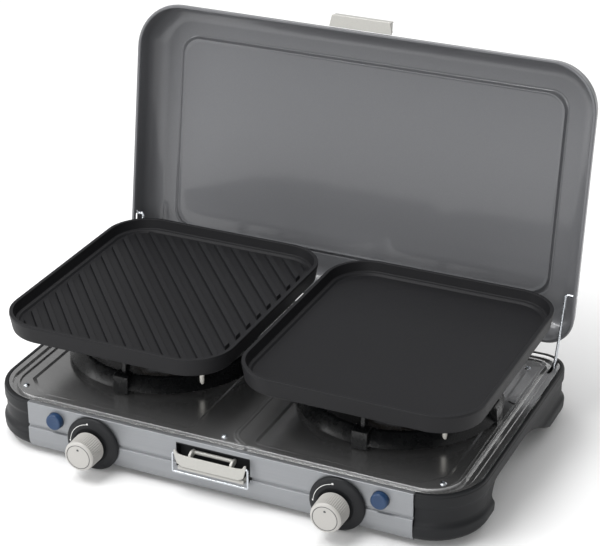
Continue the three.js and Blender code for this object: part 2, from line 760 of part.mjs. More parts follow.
// Diagonal bars across the ribbed griddle's floor, held inside its walls.
function griddleRibs() {
  const half = GRIDDLE_WIDTH / 2 - GRIDDLE_RIM_WIDTH - RIB_MARGIN;
  const deep = GRIDDLE_DEPTH / 2 - GRIDDLE_RIM_WIDTH - RIB_MARGIN;
  const floor = GRIDDLE_RIM_Z - GRIDDLE_FLOOR_DROP;
  const field = loft([
    { at: outline(half, -deep, deep, GRIDDLE_CORNER - 18), z: floor - 1 },
    { at: outline(half, -deep, deep, GRIDDLE_CORNER - 18), z: floor + RIB_HEIGHT + 1 },
  ]);
  const reach = Math.hypot(half, deep);
  const bars = [];
  const count = Math.floor((half + deep) / Math.SQRT2 / RIB_PITCH);
  for (let i = -count; i <= count; i++)
    bars.push(
      block(
        -reach,
        reach,
        i * RIB_PITCH - RIB_WIDTH / 2,
        i * RIB_PITCH + RIB_WIDTH / 2,
        floor - 1,
        floor + RIB_HEIGHT,
      ).rotateZ(-Math.PI / 4),
    );
  return bars.map((rib) => common(rib, field));
}

function buildGriddles() {
  const ribbed = join(griddleShell(), ...griddleRibs());
  piece("griddle_ribbed", ribbed.translate(-BURNER_X, BURNER_Y, 0), NON_STICK);
  piece("griddle_flat", griddleShell().translate(BURNER_X, BURNER_Y, 0), NON_STICK);
}

// ---- Lid, catch and stays -----------------------------------------------------------------------
// The lid is drawn face down, its front edge at +Y and its rim at Z 0, then stood up and leant back.
const lidTurn = THREE.MathUtils.degToRad(LID_TILT);
const lidGroup = new THREE.Group();
lidGroup.rotation.x = Math.PI / 2 - lidTurn;
lidGroup.position.set(0, LID_FOOT_Y, LID_FOOT_Z);
const pivotY =
  LID_FOOT_Y + PIVOT_UP * Math.sin(lidTurn) + PIVOT_BACK * Math.cos(lidTurn);
const pivotZ =
  LID_FOOT_Z + PIVOT_UP * Math.cos(lidTurn) - PIVOT_BACK * Math.sin(lidTurn);

function buildLid() {
  const half = LID_WIDTH / 2;
  const at = (inset) =>
    outline(half - inset, inset, LID_DEPTH - inset, LID_REAR_CORNER - inset, LID_CORNER - inset);
  const deep = (inset, z) => ({ at: at(inset), z: -z });
  // The fillet from the wall to the panel, seen on the skin that lies this far inside the outer one.
  const fillet = (skin) => {
    const radius = LID_FILLET - skin;
    return [0, 0.25, 0.5, 0.75, 1].map((share) => {
      const angle = (share * Math.PI) / 2;
      return deep(
        LID_DRAFT + LID_FILLET - radius * Math.cos(angle),
        LID_HEIGHT - LID_FILLET + radius * Math.sin(angle),
      );
    });
  };
  const raised = LID_HEIGHT - LID_BEAD_DEPTH;
  const shell = loft([
    deep(LID_BEAD_INSET + LID_BEAD_WIDTH + 1, raised),
    deep(LID_BEAD_INSET + LID_BEAD_WIDTH, raised),
    deep(LID_BEAD_INSET, LID_HEIGHT),
    ...fillet(0).reverse(),
    deep(LID_RIM_ROLL - 1, 6),
    deep(1, 5),
    deep(0, 2.5),
    deep(1, 0),
    deep(LID_RIM_ROLL, 0),
    deep(LID_RIM_ROLL + LID_WALL, 2),
    ...fillet(LID_WALL),
    deep(LID_BEAD_INSET, LID_HEIGHT - LID_WALL),
    deep(LID_BEAD_INSET + LID_BEAD_WIDTH, raised - LID_WALL),
    deep(LID_BEAD_INSET + LID_BEAD_WIDTH + 1, raised - LID_WALL),
  ]);
  const slots = SIDES.map(([, sign]) => {
    const x = sign * (half - LID_DRAFT);
    return block(
      x - 8,
      x + 8,
      PIVOT_UP - 20,
      PIVOT_UP + STAY_R + 0.6,
      -PIVOT_BACK - STAY_R - 0.6,
      -PIVOT_BACK + STAY_R + 0.6,
    );
  });
  piece("lid", cut(shell, ...slots), SILVER_PAINT, lidGroup);
  const plate = new THREE.Shape([
    new THREE.Vector2(-CATCH_WIDTH / 2, LID_DEPTH + GAP),
    new THREE.Vector2(CATCH_WIDTH / 2, LID_DEPTH + GAP),
    new THREE.Vector2(CATCH_WIDTH / 2 - 3, LID_DEPTH + CATCH_HEIGHT),
    new THREE.Vector2(3 - CATCH_WIDTH / 2, LID_DEPTH + CATCH_HEIGHT),
  ]);
  const catchPlate = join(
    new THREE.ExtrudeGeometry(plate, { depth: 3, bevelEnabled: false }).translate(0, 0, -4),
    block(
      3 - CATCH_WIDTH / 2,
      CATCH_WIDTH / 2 - 3,
      LID_DEPTH + CATCH_HEIGHT - 3,
      LID_DEPTH + CATCH_HEIGHT,
      -14,
      -3.5,
    ),
    block(-CATCH_WIDTH / 2 + 4, CATCH_WIDTH / 2 - 4, LID_DEPTH + GAP, LID_DEPTH + 2.6, -16, -3.5),
  );
  piece("lid_catch", catchPlate, GREY_PLASTIC, lidGroup);
  stove.add(lidGroup);
}

function buildStays() {
  const lean = (pivotY - STAY_FOOT_Y) / (pivotZ - HOB_Z);
  const footZ = STAY_END_Z;
  const footY = STAY_FOOT_Y - lean * (HOB_Z - footZ);
  for (const [side, sign] of SIDES) {
    const x = sign * STAY_X;
    const outer = sign * (LID_WIDTH / 2 - 1);
    const stay = wire(
      [
        [outer, pivotY, pivotZ],
        [x, pivotY, pivotZ],
        [x, footY, footZ],
        [x - sign * STAY_HOOK, footY, footZ],
      ],
      STAY_R,
      4,
    );
    piece("lid_stay_" + side, stay, WIRE);
  }
}

// ---- Controls -----------------------------------------------------------------------------------
function buildControls(side, sign) {
  const x = sign * KNOB_X;
  const bezel = turnedToFront(
    [
      [8, 1.4],
      [BEZEL_R, 1.4],
      [BEZEL_R, 4],
      [BEZEL_R - 2, 6.5],
      [BEZEL_R - 9, BEZEL_DEPTH],
      [KNOB_R + 2, BEZEL_DEPTH],
      [KNOB_R + 1, BEZEL_DEPTH - 2],
      [8, BEZEL_DEPTH - 2],
      [8, 1.4],
    ],
    44,
    x,
    KNOB_Z,
  );
  piece("knob_bezel_" + side, bezel, BLACK_PLASTIC);
  const body = turnedToFront(
    [
      [0, -KNOB_BACK_Y],
      [KNOB_R - 1, -KNOB_BACK_Y],
      [KNOB_R, -KNOB_BACK_Y + 1],
      [KNOB_R - 0.6, -KNOB_FRONT_Y - 2.5],
      [KNOB_R - 3, -KNOB_FRONT_Y],
      [KNOB_R - 4.2, -KNOB_FRONT_Y],
      [KNOB_R - 4.6, -KNOB_FRONT_Y - 0.8],
      [KNOB_R - 5, -KNOB_FRONT_Y],
      [0, -KNOB_FRONT_Y],
    ],
    40,
    x,
    KNOB_Z,
  );
  const socket = bar([x, KNOB_BACK_Y + 1, KNOB_Z], [x, KNOB_BACK_Y - 12, KNOB_Z], STEM_R + GAP, 16);
  const dot = bar(
    [x, KNOB_FRONT_Y - 1, KNOB_Z + KNOB_DOT_UP],
    [x, KNOB_FRONT_Y + 0.8, KNOB_Z + KNOB_DOT_UP],
    KNOB_DOT_R,
    10,
  );
  piece("knob_" + side, cut(body, socket, dot), GREY_PLASTIC);
  const stem = bar([x, 14, KNOB_Z], [x, KNOB_BACK_Y - 11, KNOB_Z], STEM_R, 16);
  const flat = block(x - 5, x + 5, KNOB_BACK_Y - 12, KNOB_BACK_Y + 2, KNOB_Z + 2, KNOB_Z + 5);
  piece("valve_stem_" + side, cut(stem, flat), BRASS);
  const valve = join(
    block(
      x - VALVE_HALF,
      x + VALVE_HALF,
      VALVE_FRONT_Y,
      VALVE_REAR_Y,
      KNOB_Z - VALVE_HALF,
      KNOB_Z + VALVE_HALF,
    ),
    bar([x, VALVE_FRONT_Y - 7, KNOB_Z], [x, VALVE_FRONT_Y + 1, KNOB_Z], 6.2, 6),
    bar([x, VALVE_REAR_Y - 1, KNOB_Z], [x, VALVE_REAR_Y + 8, KNOB_Z], 5, 12),
  );
  const stemBore = bar([x, 0, KNOB_Z], [x, 14.6, KNOB_Z], STEM_R + STEM_CLEAR, 16);
  piece("valve_body_" + side, cut(valve, stemBore), BRASS);

  const buttonX = sign * BUTTON_X;
  const button = turnedToFront(
    [
      [0, -12],
      [BUTTON_STEM_R, -12],
      [BUTTON_STEM_R, -BUTTON_TRAVEL - 0.5],
      [BUTTON_R, -BUTTON_TRAVEL - 0.5],
      [BUTTON_R, BUTTON_PROUD - 1.6],
      [BUTTON_R - 1.6, BUTTON_PROUD],
      [0, BUTTON_PROUD + 0.5],
    ],
    28,
    buttonX,
    BUTTON_Z,
  );
  piece("igniter_button_" + side, button, BLUE_PLASTIC);
  const barrelFront = 2 * BUTTON_TRAVEL + 1.4;
  const barrel = bar(
    [buttonX, barrelFront, BUTTON_Z],
    [buttonX, BARREL_REAR_Y, BUTTON_Z],
    BARREL_R,
    18,
  );
  const stemHole = BUTTON_STEM_R + BUTTON_CLEAR;
  const bore = bar([buttonX, 0, BUTTON_Z], [buttonX, 17, BUTTON_Z], stemHole, 16);
  piece("igniter_body_" + side, cut(barrel, bore), BLACK_PLASTIC);
}

// The lead from each igniter runs under the hob to its electrode.
function buildLeads() {
  for (const [side, sign] of SIDES) {
    const tipX = sign * BURNER_X + ELECTRODE_ACROSS;
    const tipY = BURNER_Y - ELECTRODE_FORWARD;
    const lead = wire(
      [
        [sign * BUTTON_X, BARREL_REAR_Y + 0.5, BUTTON_Z],
        [sign * BUTTON_X, 56, BUTTON_Z - 2],
        [(sign * BUTTON_X + tipX) / 2, 74, HOB_Z - 12.5],
        [tipX, tipY - 14, HOB_Z - 13.5],
        [tipX, tipY, HOB_Z - 7.5],
      ],
      LEAD_R,
      5,
      6,
    );
    piece("ignition_lead_" + side, lead, SEAL_RED);
  }
}

function buildGasLine() {
  const rail = wire(
    [
      [KNOB_X + 8, RAIL_Y, RAIL_Z],
      [KNOB_X - 4, RAIL_Y, RAIL_Z],
      [-KNOB_X - 30, RAIL_Y, RAIL_Z],
      [INLET_X, RAIL_Y + 40, RAIL_Z],
      [INLET_X, BASE_DEPTH - 40, RAIL_Z],
      [INLET_X, BASE_DEPTH - 30, INLET_Z],
      [INLET_X, BASE_DEPTH - 12, INLET_Z],
    ],
    RAIL_R,
    8,
    10,
  );
  piece("gas_rail", rail, ALLOY);
  const nozzle = turned(
    [
      [0, 0],
      [5, 0],
      [5, 12],
      [7, 12],
      [7, 20],
      [5, 20],
      [3.6, 22],
      [4.6, 25],
      [3.6, 27],
      [4.6, 30],
      [3.6, 32],
      [4.2, 34],
      [3, 36],
      [0, 36],
    ],
    18,
  )
    .rotateX(-Math.PI / 2)
    .translate(INLET_X, BASE_DEPTH - 11.5, INLET_Z);
  const bore = bar(
    [INLET_X, BASE_DEPTH + 5, INLET_Z],
    [INLET_X, BASE_DEPTH + 30, INLET_Z],
    NOZZLE_BORE_R,
    12,
  );
  piece("gas_inlet", cut(nozzle, bore), BRASS);
}

// ---- Front latch --------------------------------------------------------------------------------
function buildLatch() {
  const half = LATCH_WIDTH / 2;
  const housing = cut(
    block(-half - 2.6, half + 2.6, 0.4, 12, WINDOW_LOW_Z + 0.4, WINDOW_HIGH_Z - 0.4),
    block(-half - 1, half + 1, -1, 10.4, WINDOW_LOW_Z + 2, WINDOW_HIGH_Z - 2),
  );
  piece("latch_recess", housing, BLACK_PLASTIC);
  const axle = bar(
    [-half + 4, LATCH_AXLE_Y, LATCH_AXLE_Z],
    [half - 4, LATCH_AXLE_Y, LATCH_AXLE_Z],
    LATCH_BAR_R,
    14,
  );
  const ears = SIDES.map(([, sign]) =>
    block(
      Math.min(sign * (half - 4), sign * (half - 7)),
      Math.max(sign * (half - 4), sign * (half - 7)),
      LATCH_AXLE_Y,
      9.9,
      LATCH_AXLE_Z - 1.6,
      LATCH_AXLE_Z + 1.6,
    ),
  );
  piece("latch_hinge_bar", join(axle, ...ears), WIRE);
  const front = LATCH_AXLE_Y - 4;
  const shape = new THREE.Shape([
    new THREE.Vector2(-half + 11, LATCH_AXLE_Z + 3.6),
    new THREE.Vector2(half - 11, LATCH_AXLE_Z + 3.6),
    new THREE.Vector2(half - 3, LATCH_AXLE_Z + 8),
    new THREE.Vector2(half, LATCH_TOP_Z + 2),
    new THREE.Vector2(half - 8, LATCH_TOP_Z - 4),
    new THREE.Vector2(-half + 8, LATCH_TOP_Z - 4),
    new THREE.Vector2(-half, LATCH_TOP_Z + 2),
    new THREE.Vector2(-half + 3, LATCH_AXLE_Z + 8),
  ]);
  const plate = new THREE.ExtrudeGeometry(shape, { depth: LATCH_PLATE, bevelEnabled: false })
    .rotateX(Math.PI / 2)
    .translate(0, front + LATCH_PLATE, 0);
  const prongs = [-1, 1].map((sign) =>
    block(
      Math.min(sign * PRONG_IN, sign * PRONG_OUT),
      Math.max(sign * PRONG_IN, sign * PRONG_OUT),
      front,
      6,
      LATCH_TOP_Z - 7,
      LATCH_TOP_Z + 1,
    ),
  );
  const crossBar = bar([-27, 3, LATCH_TOP_Z - 3], [27, 3, LATCH_TOP_Z - 3], 2.4, 12);
  const clips = [-1, 1].map((sign) =>
    cut(
      block(
        Math.min(sign * CLIP_IN, sign * CLIP_OUT),
        Math.max(sign * CLIP_IN, sign * CLIP_OUT),
        front + 0.2,
        LATCH_AXLE_Y + 4.4,
        LATCH_AXLE_Z - 2,
        LATCH_AXLE_Z + 9,
      ),
      bar(
        [-half, LATCH_AXLE_Y, LATCH_AXLE_Z],
        [half, LATCH_AXLE_Y, LATCH_AXLE_Z],
        LATCH_BAR_R + GAP,
        16,
      ),
    ),
  );
  piece("latch_plate", join(plate, ...prongs, crossBar, ...clips), GREY_PLASTIC);
  const wireX = half + 1.8;
  const bailY = front + LATCH_PLATE / 2;
  const bail = wire(
    [
      [-half - 0.2, bailY, BAIL_PIVOT_Z],
      [-wireX, bailY, BAIL_PIVOT_Z],
      [-wireX, bailY, BAIL_PIVOT_Z - BAIL_DROP],
      [wireX, bailY, BAIL_PIVOT_Z - BAIL_DROP],
      [wireX, bailY, BAIL_PIVOT_Z],
      [half + 0.2, bailY, BAIL_PIVOT_Z],
    ],
    BAIL_R,
    0.9,
  );
  piece("latch_bail", bail, WIRE);
}

// ---- Assembly -----------------------------------------------------------------------------------
buildCaps();
buildFrontPanel();
buildRearPanel();
buildBottomTray();
buildHob();
for (const [side, sign] of SIDES) {
  buildBurner(side, sign);
  buildSupport(side, sign);
  buildControls(side, sign);
}
buildGriddles();
buildLid();
buildStays();
buildLeads();
buildGasLine();
buildLatch();

// The origin goes to the middle of the footprint.
const root = new THREE.Group();
const extent = new THREE.Box3().setFromObject(stove, true);
stove.position.y = -(extent.min.y + extent.max.y) / 2;
root.add(stove);
export default root;
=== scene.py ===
import json
import math

import bmesh
import bpy
from bpy.props import FloatProperty, FloatVectorProperty, IntProperty, PointerProperty
from mathutils import Matrix, Vector


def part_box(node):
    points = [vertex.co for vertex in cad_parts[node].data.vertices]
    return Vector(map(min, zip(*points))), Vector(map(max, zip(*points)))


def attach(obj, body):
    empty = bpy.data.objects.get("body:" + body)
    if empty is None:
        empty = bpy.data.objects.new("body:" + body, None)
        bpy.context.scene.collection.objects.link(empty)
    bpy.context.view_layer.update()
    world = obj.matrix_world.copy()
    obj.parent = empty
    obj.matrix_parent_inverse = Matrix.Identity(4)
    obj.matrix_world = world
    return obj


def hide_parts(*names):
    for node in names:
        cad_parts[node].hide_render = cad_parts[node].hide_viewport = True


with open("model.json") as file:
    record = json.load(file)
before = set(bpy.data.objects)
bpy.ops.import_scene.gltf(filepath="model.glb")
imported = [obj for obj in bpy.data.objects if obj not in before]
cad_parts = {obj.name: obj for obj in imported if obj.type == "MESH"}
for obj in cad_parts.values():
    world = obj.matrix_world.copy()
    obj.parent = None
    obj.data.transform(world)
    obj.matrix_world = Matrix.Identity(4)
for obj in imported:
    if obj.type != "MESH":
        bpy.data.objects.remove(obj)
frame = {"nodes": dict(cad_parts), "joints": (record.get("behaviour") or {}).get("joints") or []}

bl_info = {
    "name": "Two-burner camping stove",
    "version": (1, 0, 0),
    "blender": (4, 5, 0),
    "location": "View3D > Sidebar > Camping Stove",
    "description": "Builds the visible pieces of a two-burner camping stove over its packed frame",
    "category": "Object",
}

MM = 0.001
SIDES = (("left", -1), ("right", 1))
MERGE = 1e-6  # points closer than this are one
ON_PLANE = 1e-7  # points closer than this to a cutting plane lie on it
CORNER_STEPS = 14
PANEL_BULGE = 0.001
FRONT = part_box("front_panel")[0].y + PANEL_BULGE  # the flat of the front panel
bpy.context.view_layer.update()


def srgb(code):
    """An sRGB hex colour as linear red, green and blue."""
    shares = [int(code[i : i + 2], 16) / 255 for i in (1, 3, 5)]
    return [s / 12.92 if s <= 0.04045 else ((s + 0.055) / 1.055) ** 2.4 for s in shares]


# ---- Sizes and colours ---------------------------------------------------------------------------
def length(name, description, millimetres):
    return FloatProperty(name=name, description=description, default=millimetres * MM, unit="LENGTH")


def colour(name, description, code):
    return FloatVectorProperty(
        name=name, description=description, default=srgb(code), subtype="COLOR", min=0, max=1
    )


class StoveBaseSizes(bpy.types.PropertyGroup):
    """The black side caps and the front panel."""

    width: length("Width", "Over both side caps", 606)
    depth: length("Depth", "Front panel face to rear edge", 366)
    front_corner: length("Front corner", "Plan radius of the front corners", 66)
    rear_corner: length("Rear corner", "Plan radius of the rear corners", 36)
    cap_reach: length("Cap reach", "How far each cap reaches in along the front", 63.1)
    rim_height: length("Rim height", "Top edge of the caps over the floor", 66.5)
    foot_height: length("Pad height", "Underside of the caps over the floor", 7)
    skirt: length("Skirt", "Height of the cap between its feet", 15)
    flare: length("Flare", "How far the feet stand out", 4)
    wall: length("Cap wall", "Wall of the moulded caps", 3.4)
    panel_top: length("Panel top", "Top edge of the front panel", 67.2)
    groove_height: length("Groove height", "Middle of the front panel's groove", 36.6)
    panel_sheet: length("Panel sheet", "Thickness of the front panel", 1.6)


class StoveHobSizes(bpy.types.PropertyGroup):
    """The pressed steel hob."""

    floor: length("Floor", "Height of the hob's flat", 67.5)
    flange: length("Flange", "Height of the outer flange", 66.3)
    channel: length("Channel", "Bottom of the spill channel", 63.6)
    bead: length("Bead", "Crest of the rim bead", 69)
    edge: length("Edge", "The hob's edge inside the caps", 7.4)
    sheet: length("Sheet", "Thickness of the pressed sheet", 1.2)
    field_half: length("Field", "Half the width of a burner's field", 112.5)
    field_drop: length("Field drop", "How far a burner's field is pressed down", 1.2)
    hole_radius: length("Burner hole", "Radius of the hole round a burner", 48)


class StoveGriddleSizes(bpy.types.PropertyGroup):
    """The two cast griddles."""

    corner: length("Corner", "Plan radius of the corners", 54)
    rim_width: length("Rim width", "Thickness of the wall at its rim", 4.6)
    floor_drop: length("Floor drop", "From the rim down to the cooking floor", 15)
    cast: length("Casting", "Thickness of the floor", 4.5)
    rib_pitch: length("Rib pitch", "Spacing of the ribs", 17.9)
    rib_turn: FloatProperty(
        name="Rib turn", description="Ribs from the width towards the front", default=0.864, subtype="ANGLE"
    )
    rib_width: length("Rib width", "Width of a rib at its root", 8)
    rib_crest: length("Rib crest", "Width of a rib at its top", 6.4)
    rib_height: length("Rib height", "Height of a rib", 3.8)


class StoveLidSizes(bpy.types.PropertyGroup):
    """The pressed lid and its wire stays."""

    depth: length("Depth", "Front to rear edge of the lid", 344)
    height: length("Height", "Rim to panel", 42)
    corner: length("Corner", "Plan radius of the outer corners", 61)
    hinge_corner: length("Hinge corner", "Plan radius of the corners at the hinge side", 34)
    draft: length("Draft", "How far the walls lean in", 4)
    fillet: length("Fillet", "Between walls and panel", 24)
    sheet: length("Sheet", "Thickness of the sheet", 1.2)
    bead_inset: length("Bead inset", "From the rim to the raised middle", 46)
    bead_corner: length("Bead corner", "Corner radius of the raised middle", 23)
    bead_width: length("Bead width", "Slope up to the raised middle", 5)
    bead_rise: length("Bead rise", "How far the middle is raised", 2.4)
    tilt: FloatProperty(
        name="Tilt", description="How far the open lid leans back", default=math.radians(8.5), subtype="ANGLE"
    )
    foot_y: length("Lower rim", "The open lid's lower rim behind the front", 355)
    foot_z: length("Lower rim height", "The open lid's lower rim over the floor", 83.7)
    stay_radius: length("Stay radius", "Radius of the stay wire", 1.8)


class StoveControlSizes(bpy.types.PropertyGroup):
    """Knobs, bezels, igniter buttons and the latch."""

    knob_radius: length("Knob radius", "Radius of a knob", 19)
    knob_face: length("Knob face", "Knob face in front of the panel", 37)
    knob_back: length("Knob back", "Knob back in front of the panel", 11)
    bezel_radius: length("Bezel radius", "Radius of the domed ring behind a knob", 33)
    bezel_depth: length("Bezel depth", "How far the domed ring stands out", 9)
    flutes: IntProperty(name="Flutes", description="Fine flutes round a knob", default=48)
    button_radius: length("Button radius", "Radius of an igniter button", 9.8)
    button_proud: length("Button proud", "How far a button stands out", 7.5)


class StoveColours(bpy.types.PropertyGroup):
    """Colours of the finishes."""

    steel: colour("Stainless steel", "Brushed hob", "#BCBCBC")
    anodised: colour("Anodised aluminium", "Front panel", "#929497")
    lacquer: colour("Metallic lacquer", "Lid", "#6C6D70")
    abs_black: colour("Black ABS", "Side caps and bezels", "#1D1E20")
    coating: colour("Non-stick coating", "Griddles", "#1A1A1C")
    enamel: colour("Vitreous enamel", "Pan supports", "#0E0F10")
    knob: colour("Pale ABS", "Knobs", "#B3B1AD")
    button: colour("Blue ABS", "Igniter buttons", "#16365A")


class StoveStageSettings(bpy.types.PropertyGroup):
    """Floor, light and camera."""

    floor: colour("Floor", "Floor paint", "#F7F7F7")
    distance: length("Camera distance", "Camera to the point it looks at", 2332.5)
    lens: FloatProperty(name="Lens", description="Focal length in millimetres", default=118.31)
    azimuth: FloatProperty(
        name="Azimuth", description="Camera to the right of the front", default=0.428, subtype="ANGLE"
    )
    elevation: FloatProperty(
        name="Elevation", description="Camera over the horizon", default=0.454, subtype="ANGLE"
    )


# ---- Nodes and materials -------------------------------------------------------------------------
def add(tree, kind, sockets=None, **settings):
    """A node with its settings; sockets maps an input's name to a value or to another node's output."""
    node = tree.nodes.new(kind)
    for key, value in settings.items():
        setattr(node, key, value)
    for key, value in (sockets or {}).items():
        if isinstance(value, bpy.types.NodeSocket):
            tree.links.new(value, node.inputs[key])
        else:
            node.inputs[key].default_value = value
    return node


def shader(name, base, metallic, roughness, **sockets):
    """A Principled material whose uniform values sit on the shader's own sockets."""
    made = bpy.data.materials.new(name)
    made.use_nodes = True
    surface = made.node_tree.nodes["Principled BSDF"]
    surface.inputs["Base Color"].default_value = (*base, 1)
    surface.inputs["Metallic"].default_value = metallic
    surface.inputs["Roughness"].default_value = roughness
    for key, value in sockets.items():
        surface.inputs[key.replace("_", " ")].default_value = value
    return made, made.node_tree, surface


def stretched_noise(tree, scale, detail=3.0):
    """Noise on object coordinates, with its own scale along X, Y and Z in cycles per metre."""
    place = add(tree, "ShaderNodeTexCoord").outputs["Object"]
    stretched = add(tree, "ShaderNodeMapping", {"Vector": place, "Scale": scale})
    return add(
        tree,
        "ShaderNodeTexNoise",
        {"Vector": stretched.outputs["Vector"], "Scale": 1.0, "Detail": detail, "Roughness": 0.6},
    ).outputs["Fac"]


def spread(tree, value, low, high):
    """Noise from its usual 0.3 to 0.7 onto low to high."""
    return add(
        tree,
        "ShaderNodeMapRange",
        {"Value": value, "From Min": 0.3, "From Max": 0.7, "To Min": low, "To Max": high},
    ).outputs["Result"]


def roughen(tree, surface, value, low, high):
    tree.links.new(spread(tree, value, low, high), surface.inputs["Roughness"])


def emboss(tree, surface, height, depth, strength=1.0):
    """Bump of a real depth in metres."""
    bump = add(tree, "ShaderNodeBump", {"Height": height, "Distance": depth, "Strength": strength})
    tree.links.new(bump.outputs["Normal"], surface.inputs["Normal"])


def tint(tree, surface, value, low, high):
    """Base colour between two colours."""
    mix = add(tree, "ShaderNodeMix", {"Factor": spread(tree, value, 0, 1)}, data_type="RGBA")
    mix.inputs[6].default_value = (*low, 1)
    mix.inputs[7].default_value = (*high, 1)
    tree.links.new(mix.outputs[2], surface.inputs["Base Color"])


def shade(base, share):
    return [c * share for c in base]


MATERIALS = {}


def kept(build):
    """Makes a material once and hands out the same one after that."""

    def once():
        if build.__name__ not in MATERIALS:
            MATERIALS[build.__name__] = build()
        return MATERIALS[build.__name__]

    return once


def colours():
    return bpy.context.scene.stove_colours


@kept
def brushed_stainless():
    """Stainless steel sheet, brushed along the stove: a soft mirror drawn out into fine streaks."""
    base = colours().steel
    made, tree, surface = shader("Brushed_stainless_steel", base, 0.88, 0.24)
    # Brush lines are about 0.1 mm apart; they are drawn some 1.4 mm apart so that they show.
    lines = stretched_noise(tree, (5, 700, 0), 2.0)
    roughen(tree, surface, lines, 0.19, 0.27)
    tint(tree, surface, lines, shade(base, 0.86), base)
    emboss(tree, surface, lines, 0.00001, 0.02)
    return made


@kept
def anodised_aluminium():
    """Anodised aluminium extrusion: satin grey with a faint drawn grain along its length."""
    base = colours().anodised
    made, tree, surface = shader("Satin_anodised_aluminium", base, 0.6, 0.36)
    grain = stretched_noise(tree, (9, 0, 700))
    roughen(tree, surface, grain, 0.34, 0.46)
    tint(tree, surface, grain, shade(base, 0.93), base)
    emboss(tree, surface, grain, 0.00001, 0.25)
    return made


@kept
def metallic_lacquer():
    """Sprayed metallic lacquer on pressed steel: mid grey flake under a glossy clear coat."""
    base = colours().lacquer
    made, tree, surface = shader(
        "Grey_metallic_lacquer", base, 0.3, 0.42, Coat_Weight=0.6, Coat_Roughness=0.1
    )
    # Flakes are 0.05 mm; they are drawn at 0.6 mm so that a little sparkle shows.
    flake = stretched_noise(tree, (1600, 1600, 1600), 1.0)
    tint(tree, surface, flake, shade(base, 0.86), base)
    drift = stretched_noise(tree, (9, 9, 9))
    roughen(tree, surface, drift, 0.44, 0.54)
    # Orange peel of the spray, some 4 mm across and a few microns deep.
    emboss(tree, surface, stretched_noise(tree, (240, 240, 240), 1.0), 0.000006, 0.4)
    return made


@kept
def moulded_black():
    """Injection-moulded black ABS with a fine spark-eroded grain: dull sheen, no clear reflection."""
    base = colours().abs_black
    made, tree, surface = shader("Moulded_black_ABS", base, 0.0, 0.5, IOR=1.38, Specular_IOR_Level=0.34)
    grain = stretched_noise(tree, (1300, 1300, 1300), 2.0)
    roughen(tree, surface, grain, 0.42, 0.58)
    tint(tree, surface, grain, shade(base, 0.88), shade(base, 1.1))
    emboss(tree, surface, grain, 0.00003, 0.25)
    return made


@kept
def non_stick():
    """Sprayed non-stick coating on cast aluminium: charcoal, matt, with a fine pebbled skin."""
    base = colours().coating
    made, tree, surface = shader(
        "Charcoal_non_stick_coating", base, 0.0, 0.5, IOR=1.35, Specular_IOR_Level=0.36
    )
    pebble = stretched_noise(tree, (1100, 1100, 1100), 2.0)
    roughen(tree, surface, pebble, 0.42, 0.6)
    tint(tree, surface, pebble, shade(base, 0.8), shade(base, 1.2))
    emboss(tree, surface, pebble, 0.00004, 0.3)
    return made


@kept
def vitreous_enamel():
    """Black vitreous enamel on steel: deep black with a wet gloss that waves a little."""
    base = colours().enamel
    made, tree, surface = shader("Black_vitreous_enamel", base, 0.0, 0.26, IOR=1.45)
    wave = stretched_noise(tree, (120, 120, 120), 1.0)
    roughen(tree, surface, wave, 0.22, 0.32)
    emboss(tree, surface, wave, 0.00002, 0.2)
    return made


@kept
def pale_abs():
    """Pale warm-grey ABS, lightly textured: soft highlights and no glare."""
    base = colours().knob
    made, tree, surface = shader("Pale_grey_ABS", base, 0.0, 0.42, IOR=1.5)
    grain = stretched_noise(tree, (1200, 1200, 1200), 2.0)
    tint(tree, surface, grain, shade(base, 0.93), base)
    roughen(tree, surface, grain, 0.36, 0.5)
    emboss(tree, surface, grain, 0.00002, 0.3)
    return made


@kept
def blue_abs():
    """Blue moulded ABS: saturated, with a mild gloss."""
    base = colours().button
    made, tree, surface = shader("Blue_moulded_ABS", base, 0.0, 0.34, IOR=1.5)
    grain = stretched_noise(tree, (900, 900, 900), 2.0)
    tint(tree, surface, grain, shade(base, 0.85), shade(base, 1.1))
    emboss(tree, surface, grain, 0.00003, 0.3)
    return made


@kept
def plated_wire():
    """Bright zinc-plated wire: silvery, a little blue, with faint drawing marks."""
    base = srgb("#CDD1D6")
    made, tree, surface = shader("Bright_zinc_plating", base, 1.0, 0.22)
    marks = stretched_noise(tree, (500, 500, 500))
    roughen(tree, surface, marks, 0.16, 0.32)
    tint(tree, surface, marks, shade(base, 0.85), base)
    return made


@kept
def pale_enamelled_steel():
    """Pale stoved paint on the steel latch: off-white, satin."""
    base = srgb("#B4B3AE")
    made, tree, surface = shader("Off_white_stoved_paint", base, 0.1, 0.34, Coat_Weight=0.2)
    grain = stretched_noise(tree, (700, 700, 700), 2.0)
    tint(tree, surface, grain, shade(base, 0.93), base)
    emboss(tree, surface, grain, 0.00002, 0.25)
    return made


@kept
def turned_brass():
    """Turned brass: warm yellow metal with fine lathe marks."""
    base = srgb("#C39A52")
    made, tree, surface = shader("Turned_brass", base, 1.0, 0.3)
    marks = stretched_noise(tree, (300, 1800, 300))
    roughen(tree, surface, marks, 0.22, 0.4)
    tint(tree, surface, marks, shade(base, 0.8), base)
    emboss(tree, surface, marks, 0.00002, 0.3)
    return made


@kept
def burnt_brass():
    """Brass burner crown darkened by heat: dull brown with a trace of metal."""
    base = srgb("#3E352B")
    made, tree, surface = shader("Heat_darkened_brass", base, 0.6, 0.5)
    scale = stretched_noise(tree, (120, 120, 120))
    tint(tree, surface, scale, shade(base, 0.6), base)
    roughen(tree, surface, scale, 0.42, 0.62)
    return made


